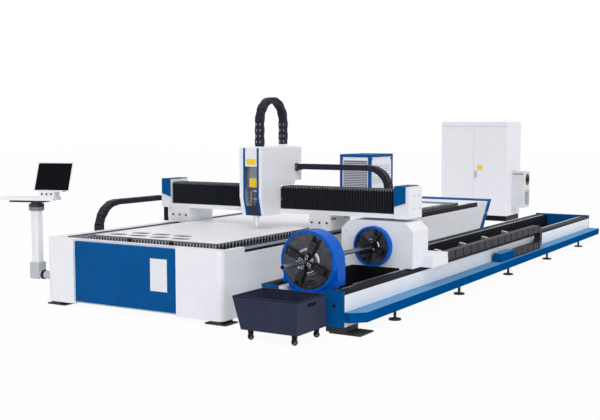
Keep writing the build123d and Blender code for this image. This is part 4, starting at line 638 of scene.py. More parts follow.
@dataclass
class SlatTable:
    """The toothed slats that carry the sheet, and what holds them and lines the steps beside them.

    A crown's corners are shares of a tooth's pitch and of the notch's depth. Levels of clips and
    strips are below the teeth's tips, places of strips behind the first slat's front.
    """

    thickness: float = 0.003
    pitch: float = 0.0543
    rear_gap: float = 0.006
    under_sheet: float = 0.0005
    tooth: float = 0.036
    notch: float = 0.0305
    crown: tuple[Span, ...] = ((0.0, 0.0), (0.2, 0.0), (0.26, 1.0), (0.74, 1.0), (0.8, 0.0))
    clip: Span = (0.012, 0.020)
    clip_drop: Span = (0.024, 0.006)
    strip: float = 0.006
    strip_start: float = 0.010
    strip_drop: float = 0.004
    cross_strip: Span = (0.008, 0.011)
    cross_inset: float = 0.020
    cross_drop: float = 0.0045
    liners: tuple[Span, ...] = ((0.191, 0.238), (0.282, 0.389), (1.956, 2.028))
    liner_run: Span = (0.160, 6.290)
    liner_levels: Span = (0.6201, 0.6226)
    sleeve_run: Span = (2.350, 6.290)
    sleeve_folds: tuple[Rect, ...] = (
        ((2.1195, 2.1206), (0.638, 0.6815)),
        ((2.1018, 2.1206), (0.6798, 0.6815)),
    )
    clamps: Span = (0.953, 1.454)
    clamp_half: float = 0.017
    clamp_run: Span = (0.118, 0.150)
    clamp_levels: Triple = (0.6702, 0.698, 0.703)
    clamp_screw: float = 0.008

    def build(self) -> None:
        """Make the slats and what belongs to them."""
        self.low, self.high = reach("slats")
        self.back, self.tip = self.high.y - self.rear_gap, self.high.z - self.under_sheet
        count = int((self.back - self.low.y - self.thickness) / self.pitch) + 1
        self.places = [self.low.y + self.pitch * i for i in range(count)]
        self.slats()
        self.clips()
        self.strips()
        self.lining()
        self.clamp_heads()

    def slats(self) -> None:
        """Slats whose crowns are cut into flat topped teeth."""
        (left, _, foot), (right, _, _) = self.low, self.high
        teeth = round((right - left) / self.tooth)
        step = (right - left) / teeth
        outline = [(right, foot), (left, foot)]
        for k, (share, depth) in product(range(teeth), self.crown):
            outline.append((left + step * (k + share), self.tip - self.notch * depth))
        outline.append((right, self.tip))
        slats = Solid()
        for y in self.places:
            slats.prism([at(x, y, z) for x, z in outline], BACK * self.thickness)
        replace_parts(slats.piece("toothed_slats", SLAT_STEEL, "base", "slat_steel"), "slats")

    def clips(self) -> None:
        """A clip folded over both ends of every slat."""
        clips = Solid()
        long, wide = self.clip
        levels = tuple(self.tip - drop for drop in self.clip_drop)
        for y in self.places:
            start = y + (self.thickness - wide) / 2
            for x in (self.low.x - long / 4, self.high.x - long * 3 / 4):
                clips.block((x, x + long), (start, start + wide), levels, PRESSED)
        clips.piece("slat_clips", SCREW_ZINC, "base")

    def strips(self) -> None:
        """Dark strips behind the clips on both sides and behind the first slat: painted shade, dark sheets
        standing where the gaps between the slats lie in shadow.
        """
        strips = Solid()
        (left, front, foot), (right, _, _) = self.low, self.high
        for x in (left + self.strip * 2, right - self.strip * 3):
            run = (front + self.strip_start, self.back)
            strips.block((x, x + self.strip), run, (foot, self.tip - self.strip_drop))
        across = (left + self.cross_inset, right - self.cross_inset)
        deep = tuple(front + place for place in self.cross_strip)
        strips.block(across, deep, (foot, self.tip - self.cross_drop))
        # dark sheets in the slats' gaps: painted shade
        strips.piece("slat_strips", BLACK_COAT, "base", "black_coat")

    def lining(self) -> None:
        """Rubber liners on the floor of both rail steps, and a sleeve over the right cover's rear."""
        liners = Solid()
        for across in self.liners:
            liners.block(across, self.liner_run, self.liner_levels, FINE)
        liners.piece("step_liners", RUBBER, "base")
        sleeve = Solid()
        for across, levels in self.sleeve_folds:
            sleeve.block(across, self.sleeve_run, levels, FOIL)
        sleeve.piece("cover_sleeve", BLACK_COAT, "base", "black_coat")

    def clamp_heads(self) -> None:
        """Heads of the two clamps in front of the first slat, each with its screw."""
        heads = Solid()
        low, high, top = self.clamp_levels
        middle = sum(self.clamp_run) / 2
        for x in self.clamps:
            across = (x - self.clamp_half, x + self.clamp_half)
            heads.block(across, self.clamp_run, (low, high), MOULDED, 2)
            heads.rod(at(x, middle, high), at(x, middle, top), self.clamp_screw, 6)
        heads.piece("clamp_heads", BLACK_COAT, "base", "black_coat")


@dataclass
class Bellows:
    """A pleated cloth cover over the front and top of the beam, from one end to the carriage.

    A crest is the share of a fold's pitch where its flat top starts and ends. The fields of the
    painted highlight strips give their share of the pitch, and how far they reach below and behind
    the rounded corner.
    """

    side: Side
    end_gap: float = 0.0003
    depth: float = 0.020
    rise: float = 0.014
    pitch: float = 0.0295
    crest: Span = (0.42, 0.58)
    corner: float = 0.012
    cloth: float = 0.0016
    highlight_share: float = 0.26
    highlight_reach: Span = (0.010, 0.030)

    def section(self, x: float, share: float) -> list[Vector]:
        """The cover's line across the beam at one place.

        Args:
            x: The place along the beam.
            share: 0 in a valley, 1 on a crest.

        Returns:
            Points from the bottom of the front, up and back over the top.
        """
        y = self.low.y + self.depth * (1 - share)
        z = self.high.z + self.rise * (share - 1)
        line = [(y, self.low.z), (y, (self.low.z + z) / 2), (y, z - self.corner)]
        line += [(y + self.corner, z), (self.high.y, z)]
        return [at(x, p, q) for p, q in line]

    def build(self) -> None:
        """Make the cover and its painted highlight strips, both left unattached with their transforms baked.
        """
        name = self.side.name.lower()
        self.low, self.high = reach(f"{name}_bellows")
        self.left, right = self.low.x - self.end_gap, self.high.x + self.end_gap
        self.folds = round((right - self.left) / self.pitch)
        self.step = (right - self.left) / self.folds
        cloth = self.pleats().piece(f"{name}_pleats", PLEAT_CLOTH, None, "pleat_cloth")
        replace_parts(cloth, f"{name}_bellows")
        # pale strips over the crests: painted highlight
        highlight_strips = self.highlight_strips().piece(f"{name}_pleat_painted_highlights", PLEAT_HIGHLIGHT_GREY, None)
        for piece in (cloth, highlight_strips):
            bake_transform(piece)
        self.cut()
        LOG.info("%s pleats: %d folds", name, self.folds)

    def cut(self) -> Span:
        """The cloth's flat length along the beam and its width, from its middle section."""
        start, stop = self.crest
        fold = 2 * hypot(self.step * start, self.depth) + self.step * (stop - start)
        middle = self.section(self.left, 0.5)
        return self.folds * fold, sum((b - a).length for a, b in zip(middle, middle[1:]))

    def pleats(self) -> Solid:
        """The cloth, folded along the beam."""
        stations = [(self.left, 0.0)]
        for i in range(self.folds):
            fold = ((self.crest[0], 1.0), (self.crest[1], 1.0), (1.0, 0.0))
            stations += [(self.left + self.step * (i + place), share) for place, share in fold]
        cover = Solid()
        line = [cover.mesh.verts.new(p) for p in self.section(*stations[0])]
        edges = [cover.mesh.edges.new(pair) for pair in zip(line, line[1:])]
        for station in stations[1:]:
            made = bmesh.ops.extrude_edge_only(cover.mesh, edges=edges)
            edges = [g for g in made["geom"] if isinstance(g, bmesh.types.BMEdge)]
            fresh = [g for g in made["geom"] if isinstance(g, bmesh.types.BMVert)]
            fresh.sort(key=lambda v: 2 * v.co.y - v.co.z)
            for vert, point in zip(fresh, sorted(self.section(*station), key=lambda p: 2 * p.y - p.z)):
                vert.co = point
        bmesh.ops.recalc_face_normals(cover.mesh, faces=cover.mesh.faces)
        bmesh.ops.solidify(cover.mesh, geom=cover.mesh.faces[:], thickness=self.cloth)
        bmesh.ops.recalc_face_normals(cover.mesh, faces=cover.mesh.faces)
        return cover

    def highlight_strips(self) -> Solid:
        """A pale strip over the front top corner of every fold: painted highlight of the crest."""
        strips = Solid()
        y, z, c, t = self.low.y, self.high.z, self.corner, self.cloth
        below, behind = self.highlight_reach
        shape = [(y, z - c - below), (y, z - c), (y + c, z), (y + c + behind, z)]
        shape += [(y + c + behind, z - t), (y + c, z - t), (y + t, z - c), (y + t, z - c - below)]
        for i in range(self.folds):
            x = self.left + self.step * (i + (1 - self.highlight_share) / 2)
            strips.prism([at(x, p, q) for p, q in shape], RIGHT * (self.step * self.highlight_share))
        return strips


@dataclass
class CableChain:
    """A cable chain that lies in a U: a first run, a bend of half a turn and a last run.

    The bend's centre is given, with the directions along the runs towards the bend (u), from the
    last run to the first (v) and across the chain (w), and the links in each stretch. The last
    fields are the thickness of plates and lids, the gap between lids as a share of half the pitch,
    the cut corners' and the wrap's share of half the height, and the clips' places and size.
    """

    name: str
    centre: Vector
    u: Vector
    v: Vector
    w: Vector
    pitch: float
    links: tuple[int, int, int]
    height: float
    width: float
    plate: float = 0.005
    lid: float = 0.006
    lid_gap: float = 0.06
    cut: float = 0.3
    wrap: float = 0.7
    clip_inset: Span = (0.018, 0.008)
    clip_tall: float = 0.002
    clip_share: float = 0.2

    def __post_init__(self) -> None:
        """Work out the pivots, from the end of the first run to the end of the last."""
        first, bend, last = self.links
        radius = self.pitch / (2 * sin(pi / (2 * bend)))
        flat = [(-self.pitch * i, radius) for i in range(first, 0, -1)]
        flat += [(radius * sin(pi * i / bend), radius * cos(pi * i / bend)) for i in range(bend + 1)]
        flat += [(-self.pitch * i, -radius) for i in range(1, last + 1)]
        self.pivots = [self.centre + self.u * p + self.v * q for p, q in flat]
        self.span = self.width / 2 - self.plate * 1.5

    def link(self, solid: Solid, index: int) -> None:
        """Add one link: two side plates, two lids on each face and the cables' wrap inside.

        Args:
            solid: What it is added to.
            index: The link's number; the plates of odd ones lie inside their neighbours'.
        """
        start, end = self.pivots[index : index + 2]
        angle = atan2((end - start) @ self.v, (end - start) @ self.u)
        along = self.u * cos(angle) + self.v * sin(angle)
        up = self.v * cos(angle) - self.u * sin(angle)
        middle = (start + end) / 2
        half, tall = self.pitch / 2, self.height / 2

        def sweep(shape: Iterable[Span], place: float, reach_across: float) -> None:
            """Add an outline along and up the link, swept from a place across the chain."""
            corners = [middle + along * p + up * q + self.w * place for p, q in shape]
            solid.prism(corners, self.w * reach_across)

        side = [(half, tall), (-half, tall), (-half - tall * self.cut, tall * 2 * self.cut)]
        side += [(-p, -q) for p, q in side]
        inset = self.plate if index % 2 else 0.0
        for hand in Side:
            sweep(side, hand.value * (self.width / 2 - inset), -hand.value * self.plate)
        for top in (tall, self.lid - tall):
            for a, b in ((-half, -half * self.lid_gap), (half * self.lid_gap, half)):
                low = top - self.lid
                sweep([(b, top), (a, top), (a, low), (b, low)], -self.span, 2 * self.span)
        core = tall * self.wrap
        sweep([(half, core), (-half, core), (-half, -core), (half, -core)], -self.span, 2 * self.span)

    def clips(self) -> Piece:
        """Pale lid clips on both straight runs, on the faces that look the first run's way out."""
        first, bend, last = self.links
        solid = Solid()
        along = self.pitch * self.clip_share
        near, far = (self.span - inset for inset in self.clip_inset)
        for i in (*range(first), *range(first + bend, first + bend + last)):
            middle = (self.pivots[i] + self.pivots[i + 1]) / 2 + self.v * (self.height / 2)
            for inner, outer in ((near, far), (-far, -near)):
                sides = ((along, inner), (along, outer), (-along, outer), (-along, inner))
                solid.prism([middle + self.u * p + self.w * q for p, q in sides], self.v * self.clip_tall)
        return solid.piece(f"{self.name}_clips", LASER_GREY, None)

    def run(self, part: str, start: int, stop: int) -> Piece:
        """Make a stretch of links.

        Args:
            part: The stretch's name.
            start: Its first link.
            stop: The link after its last.

        Returns:
            The piece, riding on nothing yet.
        """
        solid = Solid()
        for i in range(start, stop):
            self.link(solid, i)
        return solid.piece(f"{self.name}_{part}", CHAIN_NYLON, None, "chain_plastic")

    def rolling(self, roller: str) -> None:
        """Make the chain in three stretches: a first run and a last run, both left unattached, and a bend
        that rides on the roller's body.

        Args:
            roller: The body of the bend.
        """
        first, bend, last = self.links
        lead = self.run("lead", 0, first)
        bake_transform(lead)
        loop = self.run("loop", first, first + bend)
        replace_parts(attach(loop, roller), roller)
        rest = self.run("rest", first + bend, first + bend + last)
        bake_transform(rest)


@dataclass
class Chains:
    """The four cable chains, by the centres of their bends."""

    gantry: tuple[float, ...] = (-0.051, 1.080, 0.6735)
    carriage: tuple[float, ...] = (2.497, 2.113, 1.1073)
    feed: tuple[float, ...] = (3.2855, 5.310, 0.3453)
    arch: tuple[float, ...] = (1.4895, 1.8048, 1.8109)
    arch_legs: Span = (2.0347, 1.575)
    arch_level: float = 1.8

    def build(self) -> None:
        """Make the chains of the gantry, the carriage, the feed unit and the cutting head."""
        size = {"pitch": 0.095, "links": (8, 9, 23), "height": 0.056, "width": 0.090}
        bed = CableChain("gantry_chain", at(*self.gantry), -BACK, UP, RIGHT, **size)
        bed.rolling("y_chain")
        size = {"pitch": 0.070, "links": (12, 10, 12), "height": 0.058, "width": 0.100}
        beam = CableChain("carriage_chain", at(*self.carriage), RIGHT, UP, BACK, **size)
        beam.rolling("x_chain")
        size = {"pitch": 0.110, "links": (28, 3, 9), "height": 0.084, "width": 0.090}
        feed = CableChain("feed_unit_chain", at(*self.feed), BACK, UP, RIGHT, **size)
        feed.rolling("feed_chain")
        size = {"pitch": 0.060, "links": (8, 12, 4), "height": 0.056, "width": 0.086}
        arch = CableChain("height_chain", at(*self.arch), UP, -BACK, RIGHT, **size)
        made = arch.run("arch", 0, sum(arch.links))
        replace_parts(made, "z_chain")
        for piece in (made, arch.clips()):
            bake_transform(piece)


@dataclass
class HeadUnit:
    """The cover over the cutting head, its trims, skirts and plates, and the head's fittings.

    The trims follow the cover's front: straight down to the bend, then raked back. A ring has its
    level, outer radius and height; side tubes have their levels and radius.
    """

    bend: float = 1.030
    rake: float = 0.050
    trim_top: float = 1.540
    trim: float = 0.023
    trim_insets: Span = (0.047, 0.058)
    skin: float = 0.003
    skirt_run: Span = (1.766, 2.055)
    skirt_levels: Span = (1.142, 1.184)
    window: Span = (1.411, 1.568)
    window_depth: float = 0.036
    window_levels: Span = (1.130, 1.349)
    window_fold: float = 0.018
    fold_levels: Span = (1.126, 1.131)
    plate: float = 0.0015
    cover_plate: Rect = ((1.441, 1.552), (1.368, 1.428))
    inner_plate: Rect = ((1.452, 1.548), (1.140, 1.226))
    axis: Span = (1.4895, 1.508)
    bore: float = 0.044
    ring_edge: float = 0.001
    rings: tuple[Triple, ...] = (
        (0.925, 0.050, 0.012),
        (1.010, 0.049, 0.008),
        (1.090, 0.050, 0.012),
    )
    connector_levels: tuple[float, ...] = (0.965, 1.045, 1.115)
    connector_x: float = 0.030
    connector_y: Triple = (-0.056, -0.050, -0.030)
    connector_radii: Span = (0.008, 0.013)
    side_tube: Span = (-0.048, -0.020)
    side_levels: Triple = (0.962, 1.090, 1.112)
    side_radii: Span = (0.015, 0.009)

    def build(self) -> None:
        """Make the head's pieces."""
        self.low, self.high = reach("head_cover")
        self.trims()
        self.skirts()
        self.plates()
        self.fittings()

    def trims(self) -> None:
        """Blue strips down the cover's front, on both sides of the window."""
        strips = Solid()
        (left, y, bottom), t = self.low, self.skin
        shape = [(y, self.trim_top), (y - t, self.trim_top), (y - t, self.bend)]
        shape += [(y + self.rake - t, bottom), (y + self.rake, bottom), (y, self.bend)]
        for x in (left + self.trim_insets[0], self.high.x - self.trim_insets[1]):
            strips.prism([at(x, p, q) for p, q in shape], RIGHT * self.trim)
        strips.piece("head_trims", BLUE_COAT, "carriage", "blue_coat")

    def skirts(self) -> None:
        """Sheets that carry the cover's sides down to just above the pleated covers."""
        skirts = Solid()
        for x in (self.low.x, self.high.x - self.skin):
            skirts.block((x, x + self.skin), self.skirt_run, self.skirt_levels, FINE)
        skirts.piece("head_skirts", WHITE_COAT, "carriage", "white_coat")

    def plates(self) -> None:
        """A mottled plate that closes the window's upper part, and two plain enamelled plates."""
        front = self.low.y
        inner = front + self.window_depth
        window = Solid().block(self.window, (inner, inner + self.skin), self.window_levels)
        window.block(self.window, (inner, inner + self.window_fold), self.fold_levels)
        window.piece("window_plate", SPANGLE_ZINC, "carriage")
        plates = Solid()
        for (across, levels), y in ((self.cover_plate, front), (self.inner_plate, inner)):
            plates.block(across, (y - self.plate, y), levels, FINE)
        plates.piece("head_plates", YELLOW_PLATE, "carriage")

    def fittings(self) -> None:
        """Rings, blue connectors and a pale side tube on the cutting head."""
        x, y = self.axis
        rings, edge = Solid(), self.ring_edge
        for z, outer, tall in self.rings:
            rim = [(0.0, self.bore), (tall, self.bore), (tall, outer - edge), (tall - edge, outer)]
            rings.turned(rim + [(edge, outer), (0.0, outer - edge)], at(x, y, z), UP, 36)
        smooth(rings.piece("head_rings", BAR_STEEL, "z_slide"))
        links, side = Solid(), Solid()
        small, large = self.connector_radii
        for z in self.connector_levels:
            tip, step, end = (at(x + self.connector_x, y + place, z) for place in self.connector_y)
            links.rod(step, end, large, 16, PRESSED)
            links.rod(tip, step, small, 12, BAR)
        smooth(links.piece("head_connectors", CHUCK_BLUE, "z_slide"))
        foot, neck, top = (at(x + self.side_tube[0], y + self.side_tube[1], z) for z in self.side_levels)
        side.rod(foot, neck, self.side_radii[0], 20, MOULDED)
        side.rod(neck, top, self.side_radii[1], 16, PRESSED)
        smooth(side.piece("head_side_tube", LASER_GREY, "z_slide"))


@dataclass
class GantryTrim:
    """Plates, bolts and pulls on the gantry's feet, a folded guard and the end covers' screws.

    Each foot has half the width of its plates and the plates' middles.
    """

    feet: tuple[tuple[float, tuple[float, ...]], ...] = (
        (0.032292, (0.186, 0.279, 0.366)),
        (0.0351, (2.004, 2.096, 2.182)),
    )
    foot_front: float = 1.771
    skin: float = 0.002
    plate_levels: Span = (0.706, 0.806)
    bolt_level: float = 0.770
    pull_across: Span = (2.217, 2.2185)
    pulls: tuple[Span, ...] = ((1.800, 1.905), (2.085, 2.190))
    pull_levels: Span = (0.800, 0.818)
    guard_folds: tuple[Block, ...] = (
        ((0.024, 0.084), (1.800, 1.806), (0.692, 0.852)),
        ((0.024, 0.117), (1.800, 1.840), (0.690, 0.700)),
        ((0.084, 0.117), (1.800, 1.806), (0.700, 0.726)),
    )
    side_screws: Rect = ((1.876, 2.000), (0.948, 1.078))
    rear_screws: tuple[tuple[float, ...], Span] = ((0.070, 0.140, 2.985, 3.075), (0.900, 1.120))

    def build(self) -> None:
        """Make the gantry's small parts."""
        plates, bolts, y = Solid(), [], self.foot_front
        for half, row in self.feet:
            for x in row:
                plates.block((x - half, x + half), (y - self.skin, y), self.plate_levels)
            bolts += spots(row, (y - self.skin,), (self.bolt_level,), -BACK)
        plates.piece("foot_plates", CASE_PLASTIC, "gantry")
        Screws("foot_bolts", "gantry", bolts, radius=0.012, tall=0.006).build()
        pulls, guard = Solid(), Solid()
        for run in self.pulls:
            pulls.block(self.pull_across, run, self.pull_levels, FINE)
        pulls.piece("foot_pulls", BLACK_PLASTIC, "gantry")
        for fold in self.guard_folds:
            guard.block(*fold, BAR)
        guard.piece("foot_guard", BLACK_COAT, "gantry", "black_coat")
        _, cover = reach("gantry_end_covers")
        places = spots((cover.x,), *self.side_screws, RIGHT)
        places += spots(self.rear_screws[0], (cover.y,), self.rear_screws[1], BACK)
        Screws("end_cover_screws", "gantry", places, radius=0.009, tall=0.004, finish=SCREW_ZINC).build()


@dataclass
class Chuck:
    """One four-jaw chuck's guides, ribs, bright arcs and tips, on its turning face.

    Fields give how far the jaws stand out, a jaw slot's width, where guides, ribs, arcs and tips
    start and end from the axis, the jaws' angles from X towards Z, and the small parts' sizes: a
    guide's places beside the slot, the ribs' gap, width and pitch, a tip's frame and its inside.
    """

    name: str
    rise: float
    slot: float
    guide: Span
    ribs: Span
    arcs: Span
    tip: Span
    angles: tuple[float, ...] = (65.0, 155.0, 245.0, 335.0)
    edge: float = 0.0015
    guide_beside: Span = (0.002, 0.014)
    guide_deep: float = 0.014
    rib_gap: float = 0.003
    rib: float = 0.007
    rib_pitch: float = 0.015
    rib_deep: float = 0.004
    tip_half: float = 0.012
    tip_inside: float = 0.007
    tip_end: float = 0.006
    tip_deep: float = 0.002
    arc_steps: tuple[Span, ...] = ((0.0, 0.0), (0.006, 0.003), (0.010, 0.010))
    arc_start: float = 24.0
    arc_sweep: float = 42.0

    def bar(self, solid: Solid, angle: float, run: Span, wide: Span, seat: float, deep: float) -> None:
        """Add a bar along a jaw.

        Args:
            solid: What it is added to.
            angle: The jaw's angle in degrees.
            run: Where it starts and ends, from the axis.
            wide: Where it starts and ends across the jaw.
            seat: Where it sits, along the chuck.
            deep: How far it stands out in front of its seat.
        """
        turn = Matrix.Rotation(-radians(angle), 4, "Y")
        centre = CHUCK_AXIS + BACK * (seat - deep / 2) + turn @ Vector((sum(run) / 2, 0.0, sum(wide) / 2))
        size = Vector((run[1] - run[0], deep, wide[1] - wide[0])) / 2
        solid.box(centre - size, centre + size, self.edge, 1, turn)

    def build(self) -> None:
        """Make the chuck's small parts."""
        self.front = reach(f"{self.name}_chuck_face")[0].y
        guides = Solid()
        near, far = (self.slot / 2 + place for place in self.guide_beside)
        for angle in self.angles:
            for wide in ((near, far), (-far, -near)):
                self.bar(guides, angle, self.guide, wide, self.front, self.guide_deep)
        guides.piece(f"{self.name}_jaw_guides", JAW_STEEL, f"{self.name}_rotor", "jaw_steel")
        for i, angle in enumerate(self.angles):
            self.jaw(i + 1, angle)
        self.bright_arcs()

    def jaw(self, number: int, angle: float) -> None:
        """Cross ribs along one jaw and a bright frame on its tip.

        Args:
            number: The jaw's number.
            angle: Its angle in degrees.
        """
        body = f"{self.name}_jaw_{number}"
        ribs, tips = Solid(), Solid()
        half = self.slot / 2 - self.rib_gap
        start, stop = self.ribs
        for i in range(int((stop - start) / self.rib_pitch) + 1):
            place = start + self.rib_pitch * i
            run = (place, place + self.rib)
            self.bar(ribs, angle, run, (-half, half), self.front - self.rise, self.rib_deep)
        ribs.piece(f"{self.name}_jaw_ribs_{number}", RIB_STEEL, body, "jaw_steel")
        front = reach(f"{self.name}_jaw_2")[0].y
        (start, stop), half, inside = self.tip, self.tip_half, self.tip_inside
        for run, wide in (
            ((start, start + self.tip_end), (-half, half)),
            ((stop - self.tip_end, stop), (-half, half)),
            ((start, stop), (inside, half)),
            ((start, stop), (-half, -inside)),
        ):
            self.bar(tips, angle, run, wide, front, self.tip_deep)
        tips.piece(f"{self.name}_jaw_tip_{number}", BAR_STEEL, body)

    def bright_arcs(self) -> None:
        """Polished arcs on the face between the jaws."""
        arcs = Solid()
        inner, outer = self.arcs
        section = [(self.front - out, inner + side) for out, side in self.arc_steps]
        section += [(self.front - out, outer - side) for out, side in reversed(self.arc_steps)]
        for angle in self.angles:
            arcs.swung(section, CHUCK_AXIS, angle + self.arc_start, self.arc_sweep, 10)
        smooth(arcs.piece(f"{self.name}_face_arcs", BRIGHT_STEEL, f"{self.name}_rotor"))


@dataclass
class TubeBed:
    """A rail strip, the flange's bolts and lip, and a lock on the long bed that carries the tube."""

    strip_start: float = 0.640
    strip_stop: float = 0.010
    strip_folds: tuple[Rect, ...] = (
        ((2.546, 2.5518), (0.300, 0.378)),
        ((2.534, 2.5462), (0.3405, 0.348)),
    )
    bolt_inset: float = 0.020
    bolt_start: float = 0.50
    bolt_pitch: float = 0.40
    bolt_count: int = 20
    bolt_level: float = 0.193
    bracket: Span = (3.82, 4.34)  # no bolts where the chain's bracket stands
    lip_clear: float = 0.0001
    lip_corner: float = 0.110
    lip_fold: float = 0.008
    lip_levels: Span = (0.106, 0.140)
    lock: Span = (3.116, 0.245)
    lock_run: Span = (0.234, 0.230)
    lock_radius: float = 0.016
    lock_edge: float = 0.0015
    key_half: Span = (0.0025, 0.012)
    key_run: Span = (0.2285, 0.2305)

    def build(self) -> None:
        """Make the tube bed's small parts."""
        self.low, self.high = reach("tube_bed")
        strip = Solid()
        for across, levels in self.strip_folds:
            strip.block(across, (self.strip_start, self.high.y - self.strip_stop), levels, BAR)
        strip.piece("inner_rail_strip", BLACK_COAT, "base", "black_coat")
        start, stop = self.bracket
        places = [self.bolt_start + self.bolt_pitch * i for i in range(self.bolt_count)]
        places = [y for y in places if not start < y < stop]
        bolts = spots((self.high.x + self.bolt_inset,), places, (self.bolt_level,), UP)
        Screws("flange_bolts", "base", bolts, radius=0.011, tall=0.008, finish=SCREW_ZINC).build()
        self.lip()
        lock, (x, z), (across, up) = Solid(), self.lock, self.key_half
        start, end = (at(x, y, z) for y in self.lock_run)
        lock.rod(start, end, self.lock_radius, 24, self.lock_edge)
        lock.block((x - across, x + across), self.key_run, (z - up, z + up), FINE)
        lock.piece("end_plate_lock", BLACK_PLASTIC, "base")

    def lip(self) -> None:
        """The flange's edge, folded down along its outside and round its cut corner."""
        right, front, back = self.high.x, self.low.y, self.high.y
        edge, corner = reach("tube_bed_flange")[1].x - self.lip_clear, self.lip_corner
        fold, mitre = self.lip_fold, self.lip_fold * tan(pi / 8)
        outside = [(right, front), (edge - corner, front), (edge, front + corner), (edge, back)]
        inside = [(edge - fold, back), (edge - fold, front + corner + mitre)]
        inside += [(edge - corner - mitre, front + fold), (right, front + fold)]
        low, high = self.lip_levels
        lip = Solid().prism([at(x, y, low) for x, y in outside + inside], UP * (high - low))
        lip.piece("flange_lip", FLANGE_BLUE_PAINTED_TOP_LIGHT, "base", "blue_coat")


@dataclass
class Headstock:
    """Cover screws on the feed unit's housing."""

    side: float = 3.200
    front_screws: Rect = ((2.470, 3.150), (0.430, 0.720))
    side_screws: Rect = ((1.690, 1.980), (0.540, 0.700))

    def build(self) -> None:
        """Make the screws."""
        front = reach("headstock_housing")[0].y
        places = spots(self.front_screws[0], (front,), self.front_screws[1], -BACK)
        places += spots((self.side,), *self.side_screws, RIGHT)
        Screws("housing_screws", "headstock", places, radius=0.005, tall=0.002, finish=SCREW_ZINC).build()


@dataclass
class Chiller:
    """The cooling unit's front grille, side slots, ports and corner screws."""

    margin: float = 0.055
    grille_foot: float = 0.220
    recess: float = 0.002
    bar: float = 0.012
    bar_pitch: float = 0.028
    bar_start: float = 0.010
    bar_inset: float = 0.006
    bar_out: float = 0.007
    slot_run: Span = (7.120, 7.710)
    slot_start: float = 0.86
    slot_pitch: float = 0.042
    slot_count: int = 7
    slot_out: float = 0.0015
    hood: float = 0.006
    ports: tuple[float, ...] = (-0.36, -0.22, -0.08)
    port_level: float = 0.42
    port_steps: Span = (0.010, 0.048)
    port_radii: Span = (0.032, 0.020)
    screw_inset: Span = (0.030, 0.060)
    screw_foot: float = 0.090

    def build(self) -> None:
        """Make the unit's small parts."""
        self.low, self.high = reach("chiller_panels")
        self.grille()
        self.side_slots()
        self.water_ports()
        (left, front, _), (right, back, top) = self.low, self.high
        near, far = self.screw_inset
        levels = (self.screw_foot, top - near)
        places = spots((left + near, right - near), (front,), levels, -BACK)
        places += spots((right,), (front + far, back - far), levels, RIGHT)
        Screws("chiller_screws", "base", places, radius=0.017, tall=0.006).build()

    def grille(self) -> None:
        """Bars across a dark recess in the front."""
        recess, bars = Solid(), Solid()
        left, right = self.low.x + self.margin, self.high.x - self.margin
        front, crown = self.low.y, self.high.z - self.margin
        recess.block((left, right), (front - self.recess, front), (self.grille_foot, crown), FINE)
        start = self.grille_foot + self.bar_start
        count = int((crown - self.bar - start) / self.bar_pitch) + 1
        size = Vector((right - left - 2 * self.bar_inset, self.bar_out - self.recess, self.bar))
        low = at(left + self.bar_inset, front - self.bar_out, start)
        bars.stack(low, size, self.bar_pitch, count, PRESSED)
        recess.piece("chiller_grille_recess", GRILLE_DARK, "base")
        bars.piece("chiller_grille_bars", GRILLE_GREY, "base")

    def side_slots(self) -> None:
        """Pressed slots on the right side, each under a small hood."""
        start, stop = self.slot_run
        place, row = at(self.high.x, start, self.slot_start), (self.slot_pitch, self.slot_count)
        slot = Vector((self.slot_out, stop - start, self.bar))
        hood = Vector((self.hood, stop - start, self.hood))
        slots = Solid().stack(place, slot, *row, FINE)
        hoods = Solid().stack(place + UP * self.bar, hood, *row, PRESSED)
        slots.piece("chiller_side_slots", GRILLE_GREY, "base")
        hoods.piece("chiller_slot_hoods", WHITE_COAT, "base", "white_coat")

    def water_ports(self) -> None:
        """Two water ports and a cable gland at the back."""
        ports = Solid()
        nut, end = self.port_steps
        for x in self.ports:
            start = at(x, self.high.y, self.port_level)
            ports.rod(start, start + BACK * nut, self.port_radii[0], 6, PRESSED)
            ports.rod(start + BACK * nut, start + BACK * end, self.port_radii[1], 20, PRESSED)
        smooth(ports.piece("chiller_ports", BAR_STEEL, "base"))


